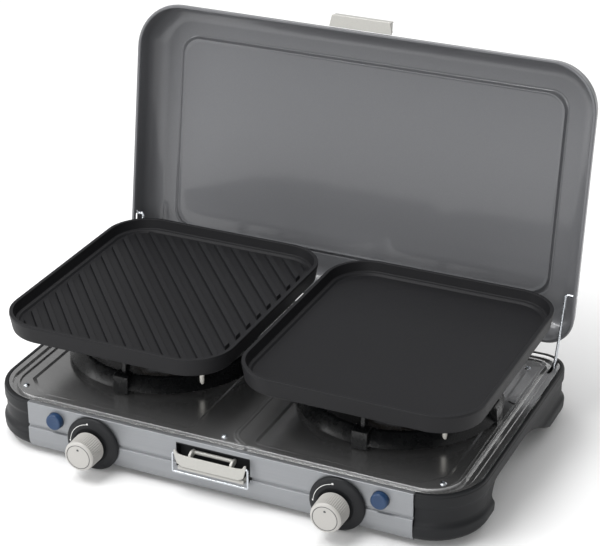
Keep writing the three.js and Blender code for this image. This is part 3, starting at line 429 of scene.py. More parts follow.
@kept
def die_cast():
    """Die-cast aluminium as it leaves the mould: dull grey with a grainy skin."""
    base = srgb("#8F9194")
    made, tree, surface = shader("Die_cast_aluminium", base, 0.9, 0.5)
    grain = stretched_noise(tree, (600, 600, 600))
    roughen(tree, surface, grain, 0.42, 0.62)
    tint(tree, surface, grain, shade(base, 0.75), base)
    emboss(tree, surface, grain, 0.00006, 0.5)
    return made


@kept
def galvanised_sheet():
    """Galvanised steel sheet: patchy zinc crystals of slightly different brightness."""
    base = srgb("#A4A7AA")
    made, tree, surface = shader("Galvanised_steel_sheet", base, 0.9, 0.45)
    place = add(tree, "ShaderNodeTexCoord").outputs["Object"]
    # Zinc spangles 8 mm across.
    spangle = add(tree, "ShaderNodeTexVoronoi", {"Vector": place, "Scale": 125.0})
    patch = add(tree, "ShaderNodeSeparateColor", {"Color": spangle.outputs["Color"]})
    tint(tree, surface, patch.outputs[0], shade(base, 0.8), base)
    roughen(tree, surface, patch.outputs[0], 0.36, 0.55)
    return made


@kept
def rubber():
    """Moulded black rubber: nearly no shine."""
    base = srgb("#1C1C1D")
    made, tree, surface = shader("Moulded_black_rubber", base, 0.0, 0.85)
    grain = stretched_noise(tree, (700, 700, 700))
    tint(tree, surface, grain, shade(base, 0.8), shade(base, 1.3))
    emboss(tree, surface, grain, 0.00008, 0.5)
    return made


@kept
def glazed_ceramic():
    """Glazed steatite of the spark electrode: ivory white and shiny."""
    base = srgb("#E4E1D9")
    made, tree, surface = shader("Glazed_white_ceramic", base, 0.0, 0.2, Coat_Weight=0.5)
    cloud = stretched_noise(tree, (250, 250, 250))
    tint(tree, surface, cloud, shade(base, 0.92), base)
    return made


@kept
def silicone_sleeve():
    """Brick-red silicone sleeve of the ignition lead: soft and dull."""
    base = srgb("#8A2B22")
    made, tree, surface = shader("Red_silicone_sleeve", base, 0.0, 0.6)
    grain = stretched_noise(tree, (800, 800, 800))
    tint(tree, surface, grain, shade(base, 0.85), base)
    return made


@kept
def white_print():
    """White pad-printed ink: flat and slightly worn."""
    base = srgb("#E6E6E4")
    made, tree, surface = shader("White_pad_print", base, 0.0, 0.5)
    wear = stretched_noise(tree, (1500, 1500, 1500))
    tint(tree, surface, wear, shade(base, 0.85), base)
    return made


@kept
def painted_groove_shade():
    """Painted shade: dark grey, slightly uneven, standing for the shade in the knob's face groove and in its
    pointer dimple.
    """
    base = srgb("#3A3C40")
    made, tree, surface = shader("Painted_groove_shade_dark_grey", base, 0.0, 0.5)
    wear = stretched_noise(tree, (1500, 1500, 1500))
    tint(tree, surface, wear, shade(base, 0.85), base)
    return made


# ---- Modelling -----------------------------------------------------------------------------------
def sheet_mesh():
    """An empty bmesh whose edges can carry a bevel weight."""
    bm = bmesh.new()
    bm.edges.layers.float.new("bevel_weight_edge")
    return bm


def rounded_ring(bm, half, front, rear, z, front_radius, rear_radius):
    """A rounded rectangle of edges, from a face whose four corners are bevelled."""
    known = set(bm.faces)
    spots = ((half, front, z), (half, rear, z), (-half, rear, z), (-half, front, z))
    corners = [bm.verts.new(spot) for spot in spots]
    bm.faces.new(corners)
    for pair, radius in ((corners[0::3], front_radius), (corners[1:3], rear_radius)):
        bmesh.ops.bevel(
            bm, geom=pair, offset=radius, offset_type="OFFSET", segments=CORNER_STEPS,
            profile=0.5, affect="VERTICES", material=-1,
        )
    face = next(f for f in bm.faces if f not in known)
    edges = list(face.edges)
    bmesh.ops.delete(bm, geom=[face], context="FACES_ONLY")
    return edges


def round_ring(bm, radius, z, centre=(0, 0), steps=64):
    """A circle of edges."""
    made = bmesh.ops.create_circle(
        bm, radius=radius, segments=steps, matrix=Matrix.Translation((*centre, z))
    )
    return list({edge for vert in made["verts"] for edge in vert.link_edges})


def bridge(bm, rings):
    """Joins rings one to the next. Level rings are held apart meanwhile, so that none is twisted."""
    apart = Vector((0, 0, 1 * MM))
    for one, other in zip(rings, rings[1:]):
        level = abs(one[0].verts[0].co.z - other[0].verts[0].co.z) < MERGE
        verts = list({vert for edge in other for vert in edge.verts})
        if level:
            bmesh.ops.translate(bm, verts=verts, vec=apart)
        bmesh.ops.bridge_loops(bm, edges=one + other)
        if level:
            bmesh.ops.translate(bm, verts=verts, vec=-apart)


def soften(bm, edges, radius, widest):
    """Marks edges for the Bevel modifier, as a share of its width."""
    layer = bm.edges.layers.float["bevel_weight_edge"]
    for edge in edges:
        edge[layer] = radius / widest


def fill(bm, edges):
    bmesh.ops.triangle_fill(bm, edges=edges, use_beauty=True)


def spin(bm, profile, centre, axis, steps):
    """Turns a profile of (distance from the axis, distance along it) into a closed or open shell."""
    axis = Vector(axis)
    out = axis.orthogonal().normalized()
    verts = [bm.verts.new(Vector(centre) + out * r + axis * along) for r, along in profile]
    edges = [bm.edges.new(pair) for pair in zip(verts, verts[1:])]
    bmesh.ops.spin(
        bm, geom=verts + edges, cent=centre, axis=axis, dvec=(0, 0, 0),
        angle=2 * math.pi, steps=steps, use_merge=True, use_duplicate=False,
    )
    bmesh.ops.remove_doubles(bm, verts=bm.verts, dist=MERGE)


def bent_wire(bm, points, radius, bend, sides=16):
    """A round wire with closed ends along straight runs joined by round bends."""
    points = [Vector(p) for p in points]
    run = (points[1] - points[0]).normalized()
    turn = run.to_track_quat("Z", "Y").to_matrix().to_4x4()
    made = bmesh.ops.create_circle(
        bm, cap_ends=True, radius=radius, segments=sides, matrix=Matrix.Translation(points[0]) @ turn
    )
    ring = list({edge for vert in made["verts"] for edge in vert.link_edges})
    here = points[0]
    for i, corner in enumerate(points[1:], 1):
        last = i == len(points) - 1
        onward = run if last else (points[i + 1] - corner).normalized()
        angle = run.angle(onward)
        stop = corner - run * (0 if last else bend * math.tan(angle / 2))
        made = bmesh.ops.extrude_edge_only(bm, edges=ring)["geom"]
        verts = [g for g in made if isinstance(g, bmesh.types.BMVert)]
        bmesh.ops.translate(bm, verts=verts, vec=stop - here)
        ring = [e for e in made if isinstance(e, bmesh.types.BMEdge) and set(e.verts) <= set(verts)]
        here = stop
        if last:
            bmesh.ops.contextual_create(bm, geom=ring)
            continue
        inward = (onward - run * onward.dot(run)).normalized()
        made = bmesh.ops.spin(
            bm, geom=ring, cent=here + inward * bend, axis=run.cross(inward), dvec=(0, 0, 0),
            angle=angle, steps=6, use_merge=False, use_duplicate=False,
        )["geom_last"]
        ring = [g for g in made if isinstance(g, bmesh.types.BMEdge)]
        here = here + (run + onward) * bend * math.tan(angle / 2)
        run = onward


def slab(bm, outline, plane, low, high, corner=0.0, steps=4):
    """An outline in the XY, XZ or YZ plane, its corners rounded, pulled from low to high across it."""
    place = {
        "XZ": lambda a, b: (a, low, b),
        "YZ": lambda a, b: (low, a, b),
        "XY": lambda a, b: (a, b, low),
    }[plane]
    across = {"XZ": (0, 1, 0), "YZ": (1, 0, 0), "XY": (0, 0, 1)}[plane]
    known = set(bm.faces)
    verts = [bm.verts.new(place(a, b)) for a, b in outline]
    bm.faces.new(verts)
    if corner:
        bmesh.ops.bevel(
            bm, geom=verts, offset=corner, offset_type="OFFSET", segments=steps,
            profile=0.5, affect="VERTICES", material=-1, clamp_overlap=True,
        )
    faces = [f for f in bm.faces if f not in known]
    made = bmesh.ops.extrude_face_region(bm, geom=faces, use_keep_orig=True)["geom"]
    moved = [g for g in made if isinstance(g, bmesh.types.BMVert)]
    bmesh.ops.translate(bm, verts=moved, vec=Vector(across) * (high - low))


def brick(bm, low, high):
    """A box between two corners."""
    low, high = Vector(low), Vector(high)
    size = high - low
    made = bmesh.ops.create_cube(
        bm, size=1, matrix=Matrix.Translation((low + high) / 2) @ Matrix.Diagonal((*size, 1))
    )
    return made["verts"]


def keep_side(bm, point, normal):
    """Cuts everything with a plane, drops what lies on the side away from normal, and closes it."""
    geom = bm.verts[:] + bm.edges[:] + bm.faces[:]
    made = bmesh.ops.bisect_plane(
        bm, geom=geom, dist=ON_PLANE, plane_co=point, plane_no=normal, clear_inner=True
    )
    cut = [g for g in made["geom_cut"] if isinstance(g, bmesh.types.BMEdge)]
    bmesh.ops.holes_fill(bm, edges=cut, sides=0)


def finish(bm, name, material, body, stands_for=(), turn_to=None, sharp=32.0):
    """The bmesh as a piece of the stove. turn_to makes an open sheet's faces look that way."""
    bmesh.ops.remove_doubles(bm, verts=bm.verts, dist=MERGE)
    bmesh.ops.recalc_face_normals(bm, faces=bm.faces)
    if turn_to is not None:
        facing = sum((f.normal * f.calc_area() for f in bm.faces), Vector())
        if facing.dot(Vector(turn_to)) < 0:
            bmesh.ops.reverse_faces(bm, faces=bm.faces)
    mesh = bpy.data.meshes.new(name)
    bm.to_mesh(mesh)
    bm.free()
    mesh.shade_smooth()
    if sharp:
        mesh.set_sharp_from_angle(angle=math.radians(sharp))
    piece = bpy.data.objects.new(name, mesh)
    bpy.context.scene.collection.objects.link(piece)
    mesh.materials.append(material)
    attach(piece, body)
    if stands_for:
        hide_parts(*stands_for)
    return piece


def even(piece):
    """Keeps flats looking flat beside rounded edges. Always the last modifier."""
    for old in [m for m in piece.modifiers if m.type == "WEIGHTED_NORMAL"]:
        piece.modifiers.remove(old)
    last = piece.modifiers.new("Flat faces", "WEIGHTED_NORMAL")
    last.keep_sharp = True


def bevelled(piece, width, segments=3, weighted=False, angle=30.0):
    """Rounds the edges, all that turn enough or only the marked ones."""
    rounding = piece.modifiers.new("Rounded edges", "BEVEL")
    rounding.width = width
    rounding.segments = segments
    rounding.limit_method = "WEIGHT" if weighted else "ANGLE"
    rounding.angle_limit = math.radians(angle)
    even(piece)


def thickened(piece, thickness, side=-1.0):
    wall = piece.modifiers.new("Sheet", "SOLIDIFY")
    wall.thickness = thickness
    wall.offset = side
    even(piece)


def bake(piece):
    """Turns a piece's modifiers into mesh, so that a cut can follow them."""
    bpy.context.view_layer.update()
    made = bpy.data.meshes.new_from_object(
        piece.evaluated_get(bpy.context.evaluated_depsgraph_get())
    )
    piece.modifiers.clear()
    piece.data = made


def carve(piece, cutter_bm):
    """Takes the cutter out of a closed piece."""
    mesh = bpy.data.meshes.new("cutter")
    cutter_bm.to_mesh(mesh)
    cutter_bm.free()
    cutter = bpy.data.objects.new("cutter", mesh)
    bpy.context.scene.collection.objects.link(cutter)
    hole = piece.modifiers.new("Openings", "BOOLEAN")
    hole.object = cutter
    hole.operation = "DIFFERENCE"
    hole.solver = "EXACT"
    bake(piece)
    bpy.data.objects.remove(cutter)
    piece.data.set_sharp_from_angle(angle=math.radians(40))
    even(piece)


def punch(piece, low, high):
    """Cuts an upright rectangular slot through an open sheet."""
    low, high = Vector(low), Vector(high)
    bm = bmesh.new()
    bm.from_mesh(piece.data)

    def touches(face):
        xs = [vert.co.x for vert in face.verts]
        ys = [vert.co.y for vert in face.verts]
        return min(xs) < high.x and max(xs) > low.x and min(ys) < high.y and max(ys) > low.y

    for spot, across in ((low, (1, 0, 0)), (high, (1, 0, 0)), (low, (0, 1, 0)), (high, (0, 1, 0))):
        near = [face for face in bm.faces if touches(face)]
        geom = near + list({e for f in near for e in f.edges}) + list({v for f in near for v in f.verts})
        bmesh.ops.bisect_plane(bm, geom=geom, dist=ON_PLANE, plane_co=spot, plane_no=across)
    gone = []
    for face in bm.faces:
        middle = face.calc_center_median()
        if low.x < middle.x < high.x and low.y < middle.y < high.y:
            gone.append(face)
    bmesh.ops.delete(bm, geom=gone, context="FACES")
    bm.to_mesh(piece.data)
    bm.free()


def dress(node, material):
    """Gives a CAD node that keeps its shape its real finish."""
    mesh_object = frame["nodes"][node]
    mesh_object.data.materials.clear()
    mesh_object.data.materials.append(material)


def centre(node):
    low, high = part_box(node)
    return (low + high) / 2


class StoveOperator:
    """What the piece operators share."""

    bl_options = {"REGISTER", "UNDO"}


# ---- Base ----------------------------------------------------------------------------------------
class STOVE_OT_side_caps(StoveOperator, bpy.types.Operator):
    """Builds both moulded side caps with their flared feet"""

    bl_idname = "stove.side_caps"
    bl_label = "Side caps"

    def ring(self, bm, base, inset, z):
        return rounded_ring(
            bm, base.width / 2 - inset, FRONT + inset, FRONT + base.depth - inset, z,
            base.front_corner - inset, base.rear_corner - inset,
        )

    def arch(self, base):
        """The gap between a cap's feet, as a prism across the stove."""
        bm = bmesh.new()
        top = base.rim_height - base.skirt
        spots = ((87, -5), (85, top / MM), (203, top / MM), (286, 13), (330, -5))
        outline = [(FRONT + y * MM, z * MM) for y, z in spots]
        face = bm.faces.new([bm.verts.new((-base.width, y, z)) for y, z in outline])
        verts = list(face.verts)
        for vert, radius in ((verts[1], 26), (verts[2], 34), (verts[3], 24)):
            bmesh.ops.bevel(
                bm, geom=[vert], offset=radius * MM, offset_type="OFFSET", segments=10,
                profile=0.5, affect="VERTICES", material=-1,
            )
        made = bmesh.ops.extrude_face_region(bm, geom=bm.faces[:], use_keep_orig=True)["geom"]
        moved = [g for g in made if isinstance(g, bmesh.types.BMVert)]
        bmesh.ops.translate(bm, verts=moved, vec=(2 * base.width, 0, 0))
        bmesh.ops.recalc_face_normals(bm, faces=bm.faces)
        return bm

    def execute(self, context):
        base = context.scene.stove_base
        foot, rim = base.foot_height, base.rim_height
        under = rim - base.skirt
        # inset from the widest line, height and edge radius, up the outside and down the inside
        section = (
            (base.flare + 3 * MM, foot, 1.5 * MM),
            (0.9 * MM, foot + 4.5 * MM, 4 * MM),
            (0.0, foot + 18 * MM, 2 * MM),
            (base.flare, foot + 23 * MM, 3 * MM),
            (base.flare, under - 4 * MM, 2 * MM),
            (2 * MM, under, 1.5 * MM),
            (2 * MM, rim - 3.4 * MM, 0.3 * MM),
            (2.5 * MM, rim - 3 * MM, 0.3 * MM),
            (2.7 * MM, rim, 1.2 * MM),
            (7 * MM, rim, 0.8 * MM),
            (7 * MM, rim - 5 * MM, 0),
            (base.flare + base.wall, rim - 6 * MM, 0),
            (base.flare + base.wall, foot + base.wall, 0),
        )
        widest = 5 * MM
        for side, sign in SIDES:
            bm = sheet_mesh()
            rings = []
            for inset, z, radius in section:
                rings.append(self.ring(bm, base, inset, z))
                soften(bm, rings[-1], radius, widest)
            bridge(bm, rings)
            # the underside is open between the feet and closed under them
            bridge(bm, [rings[-1], rings[0]])
            inner = sign * (base.width / 2 - base.cap_reach)
            keep_side(bm, (inner, 0, 0), (sign, 0, 0))
            cap = finish(
                bm, "cap_" + side, moulded_black(), "base", ["side_cap_" + side], sharp=50
            )
            bevelled(cap, widest, 4, weighted=True)
            carve(cap, self.arch(base))
            bevelled(cap, 0.8 * MM, 2, angle=40)
        return {"FINISHED"}


class STOVE_OT_front_panel(StoveOperator, bpy.types.Operator):
    """Builds the anodised front panel with its long groove, latch window and button holes"""

    bl_idname = "stove.front_panel"
    bl_label = "Front panel"

    def execute(self, context):
        base = context.scene.stove_base
        sizes = context.scene.stove_controls
        half = base.width / 2 - base.cap_reach - 0.4 * MM
        top, groove, low = base.panel_top, base.groove_height, base.foot_height
        # depth behind the panel's face, height and edge radius
        section = (
            (9 * MM, low, 0),
            (3 * MM, low + 0.4 * MM, 3 * MM),
            (-1 * MM, low + 10 * MM, 4 * MM),
            (-1 * MM, groove - 2.4 * MM, 0.3 * MM),
            (1.9 * MM, groove - 1.2 * MM, 0.2 * MM),
            (1.9 * MM, groove + 1.2 * MM, 0.2 * MM),
            (0, groove + 2.4 * MM, 0.5 * MM),
            (0, top, 0.8 * MM),
            (6 * MM, top, 0.6 * MM),
            (6.4 * MM, top - 2 * MM, 0),
        )
        bm = sheet_mesh()
        verts = [bm.verts.new((-half, FRONT + y, z)) for y, z, _ in section]
        chain = [bm.edges.new(pair) for pair in zip(verts, verts[1:])]
        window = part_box("latch_plate")[1].x + 1 * MM
        for start, stop in ((-half, -window), (-window, window), (window, half)):
            made = bmesh.ops.extrude_edge_only(bm, edges=chain)["geom"]
            moved = [g for g in made if isinstance(g, bmesh.types.BMVert)]
            bmesh.ops.translate(bm, verts=moved, vec=(stop - start, 0, 0))
            chain = [
                g for g in made if isinstance(g, bmesh.types.BMEdge) and set(g.verts) <= set(moved)
            ]
        widest = 4 * MM
        for y, z, radius in section:
            along = [
                e for e in bm.edges
                if all(abs(v.co.y - FRONT - y) < 1e-6 and abs(v.co.z - z) < 1e-6 for v in e.verts)
            ]
            soften(bm, along, radius, widest)
        low_z, high_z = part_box("latch_hinge_bar")[0].z + 1 * MM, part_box("latch_recess")[1].z
        for z in (low_z, high_z):
            geom = bm.verts[:] + bm.edges[:] + bm.faces[:]
            bmesh.ops.bisect_plane(bm, geom=geom, plane_co=(0, 0, z), plane_no=(0, 0, 1))
        gone = [
            f for f in bm.faces
            if abs(f.calc_center_median().x) < window and low_z < f.calc_center_median().z < high_z
        ]
        bmesh.ops.delete(bm, geom=gone, context="FACES")
        panel = finish(
            bm, "panel_front", anodised_aluminium(), "base", ["front_panel"],
            turn_to=(0, -1, 0), sharp=0,
        )
        bevelled(panel, widest, 4, weighted=True)
        thickened(panel, base.panel_sheet)
        holes = bmesh.new()
        for side, _ in SIDES:
            spot = centre("igniter_button_" + side)
            turn = Matrix.Rotation(math.pi / 2, 4, "X")
            bmesh.ops.create_cone(
                holes, cap_ends=True, segments=48, depth=16 * MM,
                radius1=sizes.button_radius + 0.5 * MM, radius2=sizes.button_radius + 0.5 * MM,
                matrix=Matrix.Translation((spot.x, FRONT, spot.z)) @ turn,
            )
        carve(panel, holes)
        return {"FINISHED"}


class STOVE_OT_base_trim(StoveOperator, bpy.types.Operator):
    """Finishes the rear panel, bottom tray and brackets, and builds the rubber pads"""

    bl_idname = "stove.base_trim"
    bl_label = "Rear, tray and pads"

    def execute(self, context):
        dress("rear_panel", moulded_black())
        dress("bottom_tray", galvanised_sheet())
        for side, _ in SIDES:
            dress("burner_bracket_" + side, galvanised_sheet())
            for end in ("front", "rear"):
                node = "foot_" + end + "_" + side
                low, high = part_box(node)
                radius = (high.x - low.x) / 2
                spot = centre(node)
                tall = high.z - low.z
                bm = bmesh.new()
                profile = (
                    (0, 0.4 * MM), (radius * 0.45, 0.4 * MM), (radius * 0.5, 0), (radius * 0.86, 0),
                    (radius * 0.97, 0.8 * MM), (radius, 1.8 * MM), (radius, tall), (0, tall),
                )
                spin(bm, profile, (spot.x, spot.y, low.z), (0, 0, 1), 40)
                finish(bm, "pad_" + end + "_" + side, rubber(), "base", [node])
        return {"FINISHED"}


# ---- Hob -----------------------------------------------------------------------------------------
class STOVE_OT_hob(StoveOperator, bpy.types.Operator):
    """Builds the pressed hob with its bead, channel, burner fields, ridges and stay slots"""

    bl_idname = "stove.hob"
    bl_label = "Hob"

    def ring(self, bm, base, hob, side, front, z):
        edge = hob.edge
        return rounded_ring(
            bm, base.width / 2 - edge - side, FRONT + edge + front,
            FRONT + base.depth - edge - 0.4 * MM - side, z,
            base.front_corner - edge - side, base.rear_corner - edge - min(side, 20 * MM),
        )

    def field(self, bm, x, sign, half, front, rear, z):
        """A rectangle whose outer corners are cut off and whose inner ones are rounded."""
        known = set(bm.faces)
        inner, outer = x - sign * half, x + sign * half
        spots = ((inner, front), (outer, front), (outer, rear), (inner, rear))
        verts = [bm.verts.new((*spot, z)) for spot in spots]
        bm.faces.new(verts)
        for pair, cut, steps in ((verts[1:3], 27 * MM, 2), (verts[0::3], 9 * MM, 4)):
            bmesh.ops.bevel(
                bm, geom=pair, offset=cut, offset_type="OFFSET", segments=steps,
                profile=0.5 if steps > 2 else 0.28, affect="VERTICES", material=-1,
            )
        face = next(f for f in bm.faces if f not in known)
        edges = list(face.edges)
        bmesh.ops.delete(bm, geom=[face], context="FACES_ONLY")
        return edges

    def ridge(self, name, points, bend, section):
        """A pressed ridge that follows a bent line on the hob's flat."""
        bm = bmesh.new()
        points = [Vector(p) for p in points]
        run = (points[1] - points[0]).normalized()
        right = run.cross(Vector((0, 0, 1)))
        verts = [bm.verts.new(points[0] + right * a + Vector((0, 0, h))) for a, h in section]
        chain = [bm.edges.new(pair) for pair in zip(verts, verts[1:])]
        here = points[0]
        for i, corner in enumerate(points[1:], 1):
            last = i == len(points) - 1
            onward = run if last else (points[i + 1] - corner).normalized()
            angle = run.angle(onward)
            stop = corner - run * (0 if last else bend * math.tan(angle / 2))
            made = bmesh.ops.extrude_edge_only(bm, edges=chain)["geom"]
            moved = [g for g in made if isinstance(g, bmesh.types.BMVert)]
            bmesh.ops.translate(bm, verts=moved, vec=stop - here)
            chain = [g for g in made if isinstance(g, bmesh.types.BMEdge) and set(g.verts) <= set(moved)]
            here = stop
            if last:
                continue
            inward = (onward - run * onward.dot(run)).normalized()
            made = bmesh.ops.spin(
                bm, geom=chain, cent=here + inward * bend, axis=run.cross(inward), dvec=(0, 0, 0),
                angle=angle, steps=8, use_merge=False, use_duplicate=False,
            )["geom_last"]
            chain = [g for g in made if isinstance(g, bmesh.types.BMEdge)]
            here = here + (run + onward) * bend * math.tan(angle / 2)
            run = onward
        return finish(bm, name, brushed_stainless(), "base", turn_to=(0, 0, 1), sharp=0)

    def execute(self, context):
        base, hob = context.scene.stove_base, context.scene.stove_hob
        bm = sheet_mesh()
        # side inset, front inset, height and edge radius, from the outer edge to the flat
        section = (
            (0.3 * MM, 0.2 * MM, hob.flange - 1 * MM, 0),
            (0.6 * MM, 0.4 * MM, hob.flange, 0.4 * MM),
            (7 * MM, 1.4 * MM, hob.flange, 0.8 * MM),
            (9.4 * MM, 2.2 * MM, hob.channel, 1 * MM),
            (15 * MM, 3.6 * MM, hob.channel, 1 * MM),
            (17 * MM, 5 * MM, hob.bead - 0.2 * MM, 0.5 * MM),
            (18.4 * MM, 6.2 * MM, hob.bead, 0.5 * MM),
            (19.6 * MM, 7.2 * MM, hob.bead - 0.3 * MM, 0.5 * MM),
            (20.8 * MM, 8.4 * MM, hob.floor - 0.4 * MM, 0.3 * MM),
            (22.2 * MM, 9.6 * MM, hob.floor, 0.3 * MM),
        )
        widest = 1 * MM
        rings = []
        for side, front, z, radius in section:
            rings.append(self.ring(bm, base, hob, side, front, z))
            soften(bm, rings[-1], radius, widest)
        bridge(bm, rings)
        floor_edges = list(rings[-1])
        for side, sign in SIDES:
            spot = centre("burner_cap_" + side)
            front, rear = FRONT + 23 * MM, FRONT + base.depth - 35 * MM
            outer = self.field(bm, spot.x, sign, hob.field_half, front, rear, hob.floor)
            low = hob.floor - hob.field_drop
            slope = 3.4 * MM
            inner = self.field(
                bm, spot.x, sign, hob.field_half - slope, front + slope, rear - slope, low
            )
            soften(bm, outer + inner, 0.8 * MM, widest)
            bridge(bm, [outer, inner])
            floor_edges += outer
            well = (spot.x, spot.y)
            hole = hob.hole_radius
            collar = [
                round_ring(bm, hole + 5 * MM, low, well),
                round_ring(bm, hole + 2.4 * MM, low + 1.6 * MM, well),
                round_ring(bm, hole + 1 * MM, low + 2 * MM, well),
                round_ring(bm, hole, low + 1 * MM, well),
            ]
            fill(bm, inner + collar[0])
            bridge(bm, collar)
        fill(bm, floor_edges)
        sheet = finish(
            bm, "hob_sheet", brushed_stainless(), "base", ["hob"], turn_to=(0, 0, 1), sharp=0
        )
        bevelled(sheet, widest, 2, weighted=True)
        bake(sheet)
        for side, sign in SIDES:
            x = sign * (base.width / 2 - 17 * MM)
            foot = FRONT + base.depth - 22 * MM
            punch(sheet, (x - 3 * MM, foot - 23 * MM, hob.floor), (x + 3 * MM, foot + 5 * MM, hob.floor))
        thickened(sheet, hob.sheet * 0.7)
        flat = hob.floor
        double = [(a * MM, h * MM) for a, h in (
            (-3.4, -0.2), (-2.7, 0.9), (-2.1, 1.3), (-1.5, 0.9), (-0.9, 0.05), (0.9, 0.05),
            (1.5, 0.9), (2.1, 1.3), (2.7, 0.9), (3.4, -0.2),
        )]
        single = [(a * MM, h * MM) for a, h in ((-1.5, -0.2), (-0.8, 0.8), (0, 1.2), (0.8, 0.8), (1.5, -0.2))]
        divider = ((12, 328), (12, 30), (36, 12.5))
        self.ridge(
            "hob_divider_ridge", [(x * MM, FRONT + y * MM, flat) for x, y in divider], 22 * MM, double
        )
        for side, sign in SIDES:
            corner = ((276, 312), (277, 226), (267, 231))
            self.ridge(
                "hob_slot_ridge_" + side,
                [(sign * x * MM, FRONT + y * MM, flat) for x, y in corner], 3 * MM, single,
            )
        for end in ("front", "rear"):
            for place in ("left", "centre", "right"):
                self.screw(end + "_" + place)
        return {"FINISHED"}

    def screw(self, where):
        """A domed screw with a cross recess."""
        low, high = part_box("hob_screw_" + where)
        spot = centre("hob_screw_" + where)
        radius = (high.x - low.x) / 2
        top = high.z
        bm = bmesh.new()
        profile = (
            (0, top), (radius * 0.35, top - 0.15 * MM), (radius * 0.7, top - 0.6 * MM),
            (radius * 0.92, top - 1.3 * MM), (radius, top - 2 * MM), (radius, top - 2.5 * MM),
            (radius * 0.5, top - 2.6 * MM), (radius * 0.5, low.z), (0, low.z),
        )
        spin(bm, profile, (spot.x, spot.y, 0), (0, 0, 1), 32)
        screw = finish(bm, "screw_" + where, plated_wire(), "base", ["hob_screw_" + where])
        cross = bmesh.new()
        long, thin = radius * 0.56, radius * 0.14
        arm = ((long, -thin), (long, thin), (thin, thin))
        outline = [
            (
                spot.x + x * math.cos(turn) - y * math.sin(turn),
                spot.y + x * math.sin(turn) + y * math.cos(turn),
            )
            for turn in (math.radians(38 + quarter * 90) for quarter in range(4))
            for x, y in arm
        ]
        slab(cross, outline, "XY", top - 1.4 * MM, top + 1 * MM)
        bmesh.ops.recalc_face_normals(cross, faces=cross.faces)
        carve(screw, cross)


# ---- Burners and pan supports --------------------------------------------------------------------
class STOVE_OT_burners(StoveOperator, bpy.types.Operator):
    """Builds both burners with their flame slots, mixing tubes and spark electrodes"""

    bl_idname = "stove.burners"
    bl_label = "Burners"

    def execute(self, context):
        for side, _ in SIDES:
            self.cap(side)
            self.cup(side)
            self.electrode(side)
            dress("injector_" + side, turned_brass())
            dress("ignition_lead_" + side, silicone_sleeve())
        return {"FINISHED"}

    def cap(self, side):
        low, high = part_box("burner_cap_" + side)
        spot = centre("burner_cap_" + side)
        radius = (high.x - low.x) / 2
        base_z, top = low.z, high.z
        steps = 144
        bm = bmesh.new()
        profile = (
            (0, top - 1.2 * MM), (radius * 0.5, top - 0.9 * MM), (radius * 0.8, top - 0.4 * MM),
            (radius * 0.9, top - 1 * MM), (radius * 0.97, top - 3 * MM), (radius, top - 4.4 * MM),
            (radius, top - 8 * MM), (radius * 0.93, top - 8.6 * MM), (radius * 0.88, top - 8.6 * MM),
            (radius * 0.88, base_z), (radius * 0.8, base_z), (radius * 0.78, top - 5 * MM), (0, top - 5 * MM),
        )
        spin(bm, profile, (spot.x, spot.y, 0), (0, 0, 1), steps)
        notched = [
            v for v in bm.verts
            if (v.co.xy - spot.xy).length > radius * 0.96 and v.co.z < top - 4 * MM
            and round(math.atan2(v.co.y - spot.y, v.co.x - spot.x) / (2 * math.pi / steps)) % 4 == 0
        ]
        for vert in notched:
            inward = (spot.xy - vert.co.xy).normalized() * 2.2 * MM
            bmesh.ops.translate(bm, verts=[vert], vec=(inward.x, inward.y, 0))
        finish(
            bm, "burner_crown_" + side, burnt_brass(), "base", ["burner_cap_" + side], sharp=40
        )

    def cup(self, side):
        low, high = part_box("burner_body_" + side)
        spot = centre("burner_cap_" + side)
        radius = (high.x - low.x) / 2
        bottom = centre("knob_" + side).z - 4.5 * MM
        bm = bmesh.new()
        profile = (
            (0, bottom), (14 * MM, bottom), (16 * MM, bottom + 1 * MM), (18 * MM, bottom + 13 * MM),
            (24 * MM, bottom + 19 * MM), (radius - 4 * MM, high.z - 20 * MM), (radius, high.z - 16 * MM),
            (radius, high.z), (radius - 3 * MM, high.z), (radius - 3 * MM, high.z - 15 * MM),
            (14 * MM, bottom + 18 * MM), (0, bottom + 17 * MM),
        )
        spin(bm, profile, (spot.x, spot.y, 0), (0, 0, 1), 72)
        tube = (
            (6.5, 0), (11, 0), (11, 14), (9.2, 30), (9, 105), (0, 105), (0, 8), (6.5, 8), (6.5, 0),
        )
        start = (spot.x, low.y, centre("knob_" + side).z)
        pipe = [(r * MM, along * MM) for r, along in tube]
        spin(bm, pipe, start, (0, 1, 0), 40)
        finish(
            bm, "burner_cup_" + side, die_cast(), "base", ["burner_body_" + side], sharp=35
        )

    def electrode(self, side):
        low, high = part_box("electrode_" + side)
        x = (low.x + high.x) / 2
        radius = (high.x - low.x) / 2
        y = low.y + radius
        foot = low.z + 8.6 * MM
        top = high.z - 7 * MM
        bm = bmesh.new()
        profile = (
            (0, foot), (radius * 0.5, foot), (radius * 0.75, foot + 0.8 * MM), (radius, foot + 6 * MM),
            (radius, top - 8 * MM), (radius * 0.8, top - 7 * MM), (radius * 0.8, top - 1 * MM), (0, top),
        )
        spin(bm, profile, (x, y, 0), (0, 0, 1), 32)
        finish(
            bm, "electrode_ceramic_" + side, glazed_ceramic(), "base",
            ["electrode_" + side], sharp=40,
        )
        bm = bmesh.new()
        bent_wire(bm, [(x, y, top - 1 * MM), (x, y, high.z)], 0.9 * MM, 1 * MM, 12)
        strap = y + radius + 0.1 * MM
        brick(bm, (x - 1.5 * MM, strap, low.z), (x + 1.5 * MM, strap + 1 * MM, top - 6 * MM))
        brick(bm, (x - 1.5 * MM, strap + 1 * MM, low.z), (x + 1.5 * MM, high.y, low.z + 1 * MM))
        finish(bm, "electrode_strap_" + side, vitreous_enamel(), "base")


